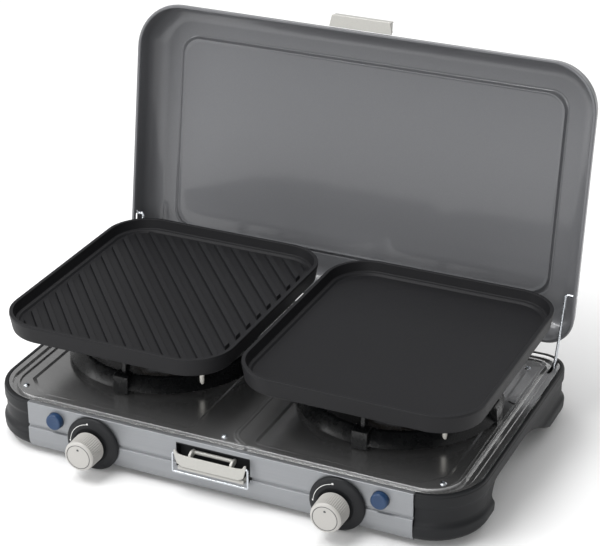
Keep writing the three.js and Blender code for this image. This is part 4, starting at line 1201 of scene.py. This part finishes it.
class STOVE_OT_pan_supports(StoveOperator, bpy.types.Operator):
    """Builds both enamelled pan supports: a dished ring on four feet with four arms"""

    bl_idname = "stove.pan_supports"
    bl_label = "Pan supports"

    def execute(self, context):
        for side, _ in SIDES:
            node = "pan_support_" + side
            low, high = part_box(node)
            spot = centre(node)
            reach = (high.x - low.x) / 2
            top = high.z
            ring_low = low.z + 5 * MM
            ring_top = ring_low + 15 * MM
            bm = bmesh.new()
            profile = (
                (reach - 3 * MM, ring_low - 1 * MM), (reach - 1.6 * MM, ring_low),
                (reach - 3.4 * MM, ring_low + 2 * MM), (reach - 13 * MM, ring_top - 1.4 * MM),
                (reach - 15 * MM, ring_top), (reach - 17 * MM, ring_top),
                (reach - 17.6 * MM, ring_top - 1.6 * MM), (reach - 16 * MM, ring_top - 3 * MM),
                (reach - 7 * MM, ring_low + 2 * MM), (reach - 3 * MM, ring_low - 1 * MM),
            )
            spin(bm, profile, (spot.x, spot.y, 0), (0, 0, 1), 96)
            finish(
                bm, "support_ring_" + side, vitreous_enamel(), "support_" + side,
                [node], sharp=50,
            )
            bm = bmesh.new()
            for quarter in range(4):
                known = set(bm.verts)
                arm = [
                    (reach - 15 * MM, ring_low + 4 * MM), (reach - 9 * MM, ring_low + 10 * MM),
                    (reach - 13 * MM, top - 14 * MM), (reach - 24 * MM, top), (reach - 82 * MM, top),
                    (reach - 84 * MM, top - 8 * MM), (reach - 34 * MM, top - 14 * MM),
                ]
                slab(bm, arm, "XZ", -2.5 * MM, 2.5 * MM, 2 * MM)
                foot = [
                    (reach - 16 * MM, low.z), (reach, low.z), (reach - 1 * MM, ring_top + 1 * MM),
                    (reach - 5 * MM, ring_top + 3 * MM), (reach - 16 * MM, ring_top + 3 * MM),
                ]
                slab(bm, foot, "XZ", -9.5 * MM, 9.5 * MM, 0.8 * MM)
                fresh = [v for v in bm.verts if v not in known]
                turn = Matrix.Translation((spot.x, spot.y, 0)) @ Matrix.Rotation(
                    quarter * math.pi / 2, 4, "Z"
                )
                bmesh.ops.transform(bm, matrix=turn, verts=fresh)
            arms = finish(bm, "support_arms_" + side, vitreous_enamel(), "support_" + side)
            bevelled(arms, 0.7 * MM, 2)
        return {"FINISHED"}


# ---- Griddles ------------------------------------------------------------------------------------
class STOVE_OT_griddles(StoveOperator, bpy.types.Operator):
    """Builds the flat griddle and the ribbed griddle"""

    bl_idname = "stove.griddles"
    bl_label = "Griddles"

    def execute(self, context):
        sizes = context.scene.stove_griddles
        for node, body in (("griddle_ribbed", "griddle_left"), ("griddle_flat", "griddle_right")):
            self.dish(sizes, node, body)
        self.ribs(sizes)
        return {"FINISHED"}

    def dish(self, sizes, node, body):
        low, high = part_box(node)
        spot = centre(node)
        half = (high.x - low.x) / 2
        deep = (high.y - low.y) / 2
        floor = high.z - sizes.floor_drop
        under = floor - sizes.cast
        # inset, height and edge radius, from under the floor, out, over the rim and in again
        section = (
            (16.0 * MM, under, 1 * MM),
            (14.2 * MM, low.z + 0.4 * MM, 1 * MM),
            (13.6 * MM, low.z, 0.6 * MM),
            (9 * MM, low.z, 1.5 * MM),
            (3.4 * MM, low.z + 3 * MM, 4 * MM),
            (0.2 * MM, high.z - 3.4 * MM, 0.3 * MM),
            (0.0, high.z - 2.8 * MM, 0.3 * MM),
            (0.3 * MM, high.z, 1 * MM),
            (sizes.rim_width, high.z, 1.2 * MM),
            (sizes.rim_width + 2.4 * MM, floor + 3.2 * MM, 1.6 * MM),
            (sizes.rim_width + 6 * MM, floor + 2.4 * MM, 0.8 * MM),
            (sizes.rim_width + 8 * MM, floor, 1 * MM),
        )
        widest = 4 * MM
        bm = sheet_mesh()
        rings = []
        for inset, z, radius in section:
            rings.append(
                rounded_ring(
                    bm, half - inset, -deep + inset, deep - inset, z,
                    sizes.corner - inset, sizes.corner - inset,
                )
            )
            soften(bm, rings[-1], radius, widest)
        bridge(bm, rings)
        bmesh.ops.contextual_create(bm, geom=rings[0])
        bmesh.ops.contextual_create(bm, geom=rings[-1])
        bmesh.ops.translate(bm, verts=bm.verts, vec=(spot.x, spot.y, 0))
        dish = finish(bm, node + "_dish", non_stick(), body, [node], sharp=0)
        bevelled(dish, widest, 4, weighted=True)

    def ribs(self, sizes):
        low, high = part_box("griddle_ribbed")
        spot = centre("griddle_ribbed")
        margin = sizes.rim_width + 13.4 * MM
        half = (high.x - low.x) / 2 - margin
        deep = (high.y - low.y) / 2 - margin
        floor = high.z - sizes.floor_drop
        reach = math.hypot(half, deep)
        bm = bmesh.new()
        span = half * math.sin(sizes.rib_turn) + deep * math.cos(sizes.rib_turn)
        count = int(span / sizes.rib_pitch)
        for i in range(-count, count + 1):
            middle = i * sizes.rib_pitch
            verts = brick(
                bm, (-reach, middle - sizes.rib_width / 2, floor - 0.5 * MM),
                (reach, middle + sizes.rib_width / 2, floor + sizes.rib_height),
            )
            crest = [v for v in verts if v.co.z > floor]
            for vert in crest:
                vert.co.y = middle + math.copysign(sizes.rib_crest / 2, vert.co.y - middle)
        bmesh.ops.rotate(bm, verts=bm.verts, cent=(0, 0, 0), matrix=Matrix.Rotation(-sizes.rib_turn, 3, "Z"))
        corner = 34 * MM
        for across, along in ((1, 0), (-1, 0), (0, 1), (0, -1)):
            keep_side(bm, (across * half, along * deep, floor), (-across, -along, -0.4))
        for across, along in ((1, 1), (1, -1), (-1, 1), (-1, -1)):
            for lean in (22.5, 45, 67.5):
                angle = math.radians(lean)
                out = Vector((across * math.cos(angle), along * math.sin(angle), 0))
                hub = Vector((across * (half - corner), along * (deep - corner), 0))
                keep_side(bm, hub + out * corner, -out)
        bmesh.ops.translate(bm, verts=bm.verts, vec=(spot.x, spot.y, 0))
        ribs = finish(bm, "griddle_ribs", non_stick(), "griddle_left")
        bevelled(ribs, 0.5 * MM, 2)


# ---- Lid -----------------------------------------------------------------------------------------
class STOVE_OT_lid(StoveOperator, bpy.types.Operator):
    """Builds the open lid, its catch and the two wire stays"""

    bl_idname = "stove.lid"
    bl_label = "Lid"

    def execute(self, context):
        lid = context.scene.stove_lid
        stand = Matrix.Translation((0, FRONT + lid.foot_y, lid.foot_z)) @ Matrix.Rotation(
            math.pi / 2 - lid.tilt, 4, "X"
        )
        self.shell(lid, stand)
        self.catch(lid, stand)
        self.stays(lid)
        return {"FINISHED"}

    def shell(self, lid, stand):
        low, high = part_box("lid")
        half = (high.x - low.x) / 2

        def ring(bm, inset, depth):
            return rounded_ring(
                bm, half - inset, inset, lid.depth - inset, -depth,
                max(lid.bead_corner, lid.hinge_corner - inset), max(lid.bead_corner, lid.corner - inset),
            )

        radius = lid.fillet - lid.sheet
        wall = lid.draft + lid.sheet
        fillet = [
            (
                wall + radius * (1 - math.cos(math.radians(angle))),
                lid.height - lid.fillet + radius * math.sin(math.radians(angle)),
                0,
            )
            for angle in range(0, 91, 10)
        ]
        inside = lid.height - lid.sheet
        # inset, depth behind the rim and edge radius, from the rolled hem to the middle
        section = [
            (2.4 * MM, 6.6 * MM, 0),
            (0.9 * MM, 5.6 * MM, 1 * MM),
            (0.5 * MM, 2 * MM, 1 * MM),
            (1.2 * MM, 0.5 * MM, 0.8 * MM),
            (4.2 * MM, 0.5 * MM, 1 * MM),
            (5.1 * MM, 3 * MM, 0.8 * MM),
            *fillet,
            (lid.bead_inset - 2.6 * MM, inside, 0.6 * MM),
            (lid.bead_inset - 1.5 * MM, inside + 0.7 * MM, 0.5 * MM),
            (lid.bead_inset, inside, 0.4 * MM),
            (lid.bead_inset + 0.5 * lid.bead_width, inside - lid.bead_rise - 0.9 * MM, 1.1 * MM),
            (lid.bead_inset + lid.bead_width, inside - lid.bead_rise, 1.1 * MM),
            (lid.bead_inset + lid.bead_width + 4 * MM, inside - lid.bead_rise, 0),
        ]
        widest = 1.5 * MM
        bm = sheet_mesh()
        rings = []
        for inset, depth, soft in section:
            rings.append(ring(bm, inset, depth))
            soften(bm, rings[-1], soft, widest)
        bridge(bm, rings)
        bmesh.ops.contextual_create(bm, geom=rings[-1])
        bmesh.ops.transform(bm, matrix=stand, verts=bm.verts)
        shell = finish(
            bm, "lid_shell", metallic_lacquer(), "lid", ["lid"], turn_to=(0, -1, 0), sharp=0
        )
        bevelled(shell, widest, 3, weighted=True)
        thickened(shell, lid.sheet * 0.9)
        slots = bmesh.new()
        for _, sign in SIDES:
            x = sign * (half - lid.draft)
            brick(slots, (x - 8 * MM, 43 * MM, -9.4 * MM), (x + 8 * MM, 65.4 * MM, -4.6 * MM))
        bmesh.ops.transform(slots, matrix=stand, verts=slots.verts)
        carve(shell, slots)

    def catch(self, lid, stand):
        bm = bmesh.new()
        half, start, tall = 41 * MM, lid.depth + 0.4 * MM, 15 * MM
        tip = start + tall - 0.4 * MM
        plate = [(-half, start), (half, start), (half - 3 * MM, tip), (3 * MM - half, tip)]
        slab(bm, plate, "XY", -4 * MM, -1.6 * MM, 1 * MM)
        brick(
            bm, (3.4 * MM - half, start + tall - 3 * MM, -14 * MM),
            (half - 3.4 * MM, start + tall - 0.6 * MM, -3 * MM),
        )
        brick(bm, (4 * MM - half, start, -16 * MM), (half - 4 * MM, start + 2.2 * MM, -3 * MM))
        for place in (-36.6, -26, 0, 26, 36.6):
            brick(
                bm, ((place - 1.2) * MM, start + 2 * MM, -12 * MM),
                ((place + 1.2) * MM, start + tall - 3 * MM, -3 * MM),
            )
        bmesh.ops.transform(bm, matrix=stand, verts=bm.verts)
        catch = finish(bm, "lid_catch_plate", pale_enamelled_steel(), "lid", ["lid_catch"])
        bevelled(catch, 0.7 * MM, 3)

    def stays(self, lid):
        joint = next(j for j in frame["joints"] if j["name"] == "lid_fold")
        pivot = Vector(joint["pos_m"])
        for side, sign in SIDES:
            low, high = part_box("lid_stay_" + side)
            tip = high.x if sign > 0 else low.x
            inner = low.x if sign > 0 else high.x
            x = inner + sign * 10 * MM
            foot_z = low.z + lid.stay_radius
            foot_y = low.y + lid.stay_radius
            bm = bmesh.new()
            points = [
                (tip, pivot.y, pivot.z), (x, pivot.y, pivot.z), (x, foot_y, foot_z), (inner, foot_y, foot_z),
            ]
            bent_wire(bm, points, lid.stay_radius, 3.6 * MM, 20)
            finish(
                bm, "stay_wire_" + side, plated_wire(), "stays",
                ["lid_stay_" + side], sharp=50,
            )


# ---- Controls ------------------------------------------------------------------------------------
class STOVE_OT_knobs(StoveOperator, bpy.types.Operator):
    """Builds both knobs, their domed rings with printed marks, and dresses the valves"""

    bl_idname = "stove.knobs"
    bl_label = "Knobs"

    def execute(self, context):
        sizes = context.scene.stove_controls
        for side, _ in SIDES:
            middle = centre("knob_" + side)
            at = Vector((middle.x, FRONT, middle.z))
            self.knob(sizes, side, at)
            self.bezel(sizes, side, at)
            dress("valve_stem_" + side, turned_brass())
            dress("valve_body_" + side, turned_brass())
        return {"FINISHED"}

    def knob(self, sizes, side, at):
        radius, face, back = sizes.knob_radius, sizes.knob_face, sizes.knob_back
        bm = bmesh.new()
        steps = sizes.flutes * 2
        profile = (
            (0, back), (radius - 2 * MM, back), (radius - 0.4 * MM, back + 0.6 * MM), (radius, back + 2 * MM),
            (radius, back + 3 * MM), (radius - 0.4 * MM, face - 4 * MM),
            (radius - 0.7 * MM, face - 3.2 * MM), (radius - 1.3 * MM, face - 1.8 * MM),
            (radius - 2.6 * MM, face - 0.6 * MM), (radius - 3.8 * MM, face - 0.2 * MM),
            (radius - 4.2 * MM, face - 0.7 * MM), (radius - 4.7 * MM, face - 0.7 * MM),
            (radius - 5.1 * MM, face - 0.2 * MM), (radius * 0.4, face), (0, face),
        )
        spin(bm, profile, at, (0, -1, 0), steps)
        for vert in bm.verts:
            out = Vector((vert.co.x - at.x, vert.co.z - at.z))
            along = at.y - vert.co.y
            turn = round(math.atan2(out.y, out.x) / (2 * math.pi / steps))
            if back + 2.5 * MM < along < face - 3.5 * MM and turn % 2:
                inward = out.normalized() * -0.8 * MM
                bmesh.ops.translate(bm, verts=[vert], vec=(inward.x, 0, inward.y))
        finish(
            bm, "knob_body_" + side, pale_abs(), "knob_" + side,
            ["knob_" + side], sharp=30,
        )
        # Painted shade: a dark grey ring laid in the face groove and a dark grey dot at the pointer dimple
        # stand for the shade in these hollows.
        bm = bmesh.new()
        ring = ((radius - 4.8 * MM, face - 0.72 * MM), (radius - 4.8 * MM, face - 0.5 * MM),
                (radius - 4.1 * MM, face - 0.5 * MM), (radius - 4.1 * MM, face - 0.72 * MM))
        spin(bm, ring + ring[:1], at, (0, -1, 0), 96)
        dot = (
            (0, face - 0.3 * MM), (1.5 * MM, face - 0.3 * MM),
            (1.5 * MM, face - 0.02 * MM), (0, face + 0.02 * MM),
        )
        spin(bm, dot, at + Vector((0, 0, 9 * MM)), (0, -1, 0), 24)
        finish(bm, "knob_groove_shade_" + side, painted_groove_shade(), "knob_" + side)

    def bezel(self, sizes, side, at):
        radius, depth, knob = sizes.bezel_radius, sizes.bezel_depth, sizes.knob_radius
        bm = bmesh.new()
        profile = (
            (8 * MM, 1.4 * MM), (radius - 0.6 * MM, 1.4 * MM), (radius, 2 * MM), (radius, 3.4 * MM),
            (radius - 0.5 * MM, 4.6 * MM), (radius - 1.6 * MM, 5.8 * MM), (radius - 4 * MM, 7.2 * MM),
            (radius - 8 * MM, depth - 0.4 * MM), (radius - 10 * MM, depth), (knob + 2.4 * MM, depth),
            (knob + 1.4 * MM, depth - 0.6 * MM), (knob + 1 * MM, depth - 2 * MM), (8 * MM, depth - 2 * MM),
            (8 * MM, 1.4 * MM),
        )
        spin(bm, profile, at, (0, -1, 0), 96)
        finish(
            bm, "bezel_dome_" + side, moulded_black(), "base",
            ["knob_bezel_" + side], sharp=50,
        )
        # a printed arc from nine o'clock to noon, with a dot at its end
        bm = bmesh.new()
        track = radius - 6.5 * MM
        lift = depth - 1.1 * MM
        pen = 0.3 * MM
        spots = ((track - pen, lift), (track - pen, lift + 0.3 * MM),
                 (track + pen, lift + 0.15 * MM), (track + pen, lift - 0.2 * MM))
        start = Matrix.Rotation(math.radians(-86), 3, "Y")
        verts = [bm.verts.new(at + start @ Vector((0, -along, r))) for r, along in spots]
        face = bm.faces.new(verts)
        bmesh.ops.spin(
            bm, geom=[face], cent=at, axis=(0, 1, 0), dvec=(0, 0, 0),
            angle=math.radians(74), steps=28, use_merge=False, use_duplicate=False,
        )
        for angle, size in ((-88, 1.2), (-8, 1.5)):
            out = Matrix.Rotation(math.radians(angle), 3, "Y") @ Vector((0, 0, track))
            dot = (
                (0, lift - 0.5 * MM), (size * MM, lift - 0.5 * MM),
                (size * MM, lift + 0.2 * MM), (0, lift + 0.35 * MM),
            )
            spin(bm, dot, at + out, (0, -1, 0), 24)
        finish(bm, "bezel_print_" + side, white_print(), "base")


class STOVE_OT_igniters(StoveOperator, bpy.types.Operator):
    """Builds both blue igniter buttons"""

    bl_idname = "stove.igniters"
    bl_label = "Igniter buttons"

    def execute(self, context):
        sizes = context.scene.stove_controls
        for side, _ in SIDES:
            node = "igniter_button_" + side
            _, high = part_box(node)
            middle = centre(node)
            at = Vector((middle.x, FRONT, middle.z))
            radius, proud = sizes.button_radius, sizes.button_proud
            back = FRONT - high.y
            bm = bmesh.new()
            profile = (
                (0, back), (4 * MM, back), (4 * MM, -4.5 * MM), (radius - 0.4 * MM, -4.5 * MM),
                (radius, -4 * MM), (radius, proud - 1.8 * MM), (radius - 0.5 * MM, proud - 0.7 * MM),
                (radius - 1.6 * MM, proud), (radius - 2.6 * MM, proud), (radius * 0.4, proud - 0.5 * MM),
                (0, proud - 0.6 * MM),
            )
            spin(bm, profile, at, (0, -1, 0), 64)
            finish(bm, "button_" + side, blue_abs(), "igniter_" + side, [node], sharp=40)
            dress("igniter_body_" + side, moulded_black())
        return {"FINISHED"}


class STOVE_OT_latch(StoveOperator, bpy.types.Operator):
    """Builds the front latch: recess, hinge bar, plate with its ears, and wire bail"""

    bl_idname = "stove.latch"
    bl_label = "Latch"

    def execute(self, context):
        dress("latch_recess", moulded_black())
        self.bar()
        self.plate()
        self.bail()
        return {"FINISHED"}

    def bar(self):
        low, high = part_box("latch_hinge_bar")
        z = (low.z + high.z) / 2
        radius = (high.z - low.z) / 2
        y = low.y + radius
        bm = bmesh.new()
        bent_wire(bm, [(low.x, y, z), (high.x, y, z)], radius, 1 * MM, 28)
        for sign in (-1, 1):
            edge = high.x if sign > 0 else low.x
            x0, x1 = sorted((edge, edge - sign * 3 * MM))
            brick(bm, (x0, y, z - 1.6 * MM), (x1, high.y, z + 1.6 * MM))
        bar = finish(bm, "latch_bar", pale_enamelled_steel(), "base", ["latch_hinge_bar"])
        bevelled(bar, 0.4 * MM, 2)

    def plate(self):
        low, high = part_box("latch_plate")
        half = (high.x - low.x) / 2
        joint = next(j for j in frame["joints"] if j["name"] == "latch_tilt")
        axle_y, axle_z = joint["pos_m"][1], joint["pos_m"][2]
        top = high.z
        bm = bmesh.new()
        right = (
            (half - 10 * MM, axle_z + 3.6 * MM), (half - 3.4 * MM, axle_z + 7 * MM), (half, top - 3 * MM),
            (half - 0.4 * MM, top), (half - 2.6 * MM, top - 0.6 * MM), (half - 5 * MM, top - 5 * MM),
            (half - 12 * MM, top - 6 * MM),
        )
        outline = list(right) + [(-x, z) for x, z in reversed(right)]
        slab(bm, outline, "XZ", low.y, low.y + 2.2 * MM, 1.2 * MM)
        for sign in (-1, 1):
            x0, x1 = sorted((sign * 24 * MM, sign * 27 * MM))
            prong = [
                (low.y + 1 * MM, top - 8 * MM), (low.y + 1 * MM, top - 4 * MM),
                (low.y + 6 * MM, top - 1 * MM), (high.y - 1 * MM, top - 2 * MM),
                (high.y - 0.5 * MM, top - 7 * MM), (high.y - 5 * MM, top - 9 * MM),
            ]
            slab(bm, prong, "YZ", x0, x1, 1 * MM)
            clip = [
                (low.y + 1 * MM, axle_z + 3.2 * MM), (low.y + 1 * MM, axle_z + 9 * MM),
                (axle_y + 4.2 * MM, axle_z + 6 * MM), (axle_y + 4.2 * MM, axle_z - 1 * MM),
                (axle_y + 3.1 * MM, axle_z - 1 * MM), (axle_y + 3.1 * MM, axle_z + 3.2 * MM),
            ]
            x0, x1 = sorted((sign * 30 * MM, sign * 34 * MM))
            slab(bm, clip, "YZ", x0, x1)
        plate = finish(bm, "latch_face", pale_enamelled_steel(), "latch", ["latch_plate"])
        bevelled(plate, 0.6 * MM, 3)
        bm = bmesh.new()
        y = high.y - 3 * MM
        bent_wire(bm, [(-26 * MM, y, top - 5 * MM), (26 * MM, y, top - 5 * MM)], 2.3 * MM, 1 * MM, 24)
        finish(bm, "latch_cross_bar", pale_enamelled_steel(), "latch")

    def bail(self):
        low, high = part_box("latch_bail")
        half = (high.x - low.x) / 2
        joint = next(j for j in frame["joints"] if j["name"] == "bail_swing")
        y, z = joint["pos_m"][1], joint["pos_m"][2]
        radius = (high.y - low.y) / 2
        side = half - radius
        bottom = low.z + radius
        bm = bmesh.new()
        points = [
            (-side + 2.6 * MM, y, z), (-side, y, z), (-side, y, bottom), (side, y, bottom), (side, y, z),
            (side - 2.6 * MM, y, z),
        ]
        bent_wire(bm, points, radius, 1.6 * MM, 16)
        finish(bm, "bail_wire", plated_wire(), "bail", ["latch_bail"], sharp=50)


class STOVE_OT_gas_line(StoveOperator, bpy.types.Operator):
    """Builds the hose nozzle and dresses the gas rail"""

    bl_idname = "stove.gas_line"
    bl_label = "Gas line"

    def execute(self, context):
        dress("gas_rail", die_cast())
        low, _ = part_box("gas_inlet")
        spot = centre("gas_inlet")
        start = low.y
        bm = bmesh.new()
        profile = (
            (0, 0), (5, 0), (5, 12), (6.4, 12), (7, 12.6), (7, 19.4), (6.4, 20), (5, 20), (3.8, 21.6),
            (3.8, 22.4), (4.7, 24.6), (4.7, 25.2), (3.7, 27), (4.7, 29.4), (4.7, 30), (3.7, 31.8),
            (4.3, 33.6), (3.6, 36), (2.2, 36), (1.8, 35.4), (1.8, 18), (0, 18),
        )
        nozzle = [(r * MM, along * MM) for r, along in profile]
        spin(bm, nozzle, (spot.x, start, spot.z), (0, 1, 0), 48)
        finish(bm, "hose_nozzle", turned_brass(), "base", ["gas_inlet"], sharp=40)
        return {"FINISHED"}


# ---- Stage ---------------------------------------------------------------------------------------
class STOVE_OT_stage(StoveOperator, bpy.types.Operator):
    """Builds the pale floor, the soft lights and the camera"""

    bl_idname = "stove.stage"
    bl_label = "Stage"

    def light(self, name, spot, aim, size, power):
        data = bpy.data.lights.new(name, "AREA")
        data.shape = "RECTANGLE"
        data.size, data.size_y = size
        data.energy = power
        lamp = bpy.data.objects.new(name, data)
        lamp.location = spot
        lamp.rotation_euler = (Vector(aim) - Vector(spot)).to_track_quat("-Z", "Y").to_euler()
        bpy.context.scene.collection.objects.link(lamp)

    def execute(self, context):
        stage = context.scene.stove_stage
        bm = bmesh.new()
        bmesh.ops.create_grid(bm, x_segments=1, y_segments=1, size=9)
        mesh = bpy.data.meshes.new("floor")
        bm.to_mesh(mesh)
        bm.free()
        floor = bpy.data.objects.new("floor", mesh)
        context.scene.collection.objects.link(floor)
        # Matt white studio vinyl: bright and without reflections.
        paint, tree, surface = shader("Matt_studio_vinyl", stage.floor, 0.0, 0.9)
        tint(tree, surface, stretched_noise(tree, (3, 3, 3)), shade(stage.floor, 0.99), stage.floor)
        mesh.materials.append(paint)

        world = bpy.data.worlds.new("Studio")
        world.use_nodes = True
        world.node_tree.nodes["Background"].inputs["Color"].default_value = (1, 1, 1, 1)
        world.node_tree.nodes["Background"].inputs["Strength"].default_value = 0.4
        context.scene.world = world
        self.light("Top_softbox", (-0.5, 0.1, 2.6), (0, 0, 0.1), (3.0, 0.9), 48)
        self.light("Left_softbox", (-2.2, -1.4, 1.1), (0, 0, 0.2), (1.6, 1.4), 23)
        self.light("Front_softbox", (0.4, -3.0, 1.0), (0, 0, 0.25), (2.4, 1.0), 26)
        self.light("High_strip", (-1.0, -1.1, 2.3), (0, 0.1, 0.2), (2.2, 0.2), 24)
        self.light("Rear_softbox", (0.6, 2.8, 1.6), (0, 0, 0.1), (3.0, 1.2), 26)

        target = Vector((0, FRONT + 0.23404, 0.17735))
        a, e = stage.azimuth, stage.elevation
        back = Vector((math.sin(a) * math.cos(e), -math.cos(a) * math.cos(e), math.sin(e)))
        lens = bpy.data.cameras.new("Camera")
        lens.lens = stage.lens
        lens.sensor_width = 36
        lens.clip_end = 50
        camera = bpy.data.objects.new("Camera", lens)
        camera.location = target + back * stage.distance
        camera.rotation_euler = (-back).to_track_quat("-Z", "Y").to_euler()
        context.scene.collection.objects.link(camera)
        context.scene.camera = camera
        context.scene.view_settings.view_transform = "Standard"
        return {"FINISHED"}


PIECES = (
    STOVE_OT_stage,
    STOVE_OT_side_caps,
    STOVE_OT_front_panel,
    STOVE_OT_base_trim,
    STOVE_OT_hob,
    STOVE_OT_burners,
    STOVE_OT_pan_supports,
    STOVE_OT_griddles,
    STOVE_OT_lid,
    STOVE_OT_knobs,
    STOVE_OT_igniters,
    STOVE_OT_latch,
    STOVE_OT_gas_line,
)


class STOVE_PT_pieces(bpy.types.Panel):
    """Lists the stove's pieces and their sizes"""

    bl_idname = "STOVE_PT_pieces"
    bl_label = "Camping stove"
    bl_space_type = "VIEW_3D"
    bl_region_type = "UI"
    bl_category = "Camping Stove"

    def draw(self, context):
        for piece in PIECES:
            self.layout.operator(piece.bl_idname)
        for name in GROUPS:
            group = getattr(context.scene, name)
            box = self.layout.box()
            for key in group.bl_rna.properties.keys():
                if key not in ("rna_type", "name"):
                    box.prop(group, key)


GROUPS = {
    "stove_base": StoveBaseSizes,
    "stove_hob": StoveHobSizes,
    "stove_griddles": StoveGriddleSizes,
    "stove_lid": StoveLidSizes,
    "stove_controls": StoveControlSizes,
    "stove_colours": StoveColours,
    "stove_stage": StoveStageSettings,
}


def register():
    for name, group in GROUPS.items():
        bpy.utils.register_class(group)
        setattr(bpy.types.Scene, name, PointerProperty(type=group))
    for piece in PIECES:
        bpy.utils.register_class(piece)
    bpy.utils.register_class(STOVE_PT_pieces)


def unregister():
    bpy.utils.unregister_class(STOVE_PT_pieces)
    for piece in reversed(PIECES):
        bpy.utils.unregister_class(piece)
    for name, group in GROUPS.items():
        delattr(bpy.types.Scene, name)
        bpy.utils.unregister_class(group)


def main():
    register()
    for piece in PIECES:
        family, verb = piece.bl_idname.split(".")
        getattr(getattr(bpy.ops, family), verb)()
    bpy.context.view_layer.update()


if __name__ == "__main__":
    main()
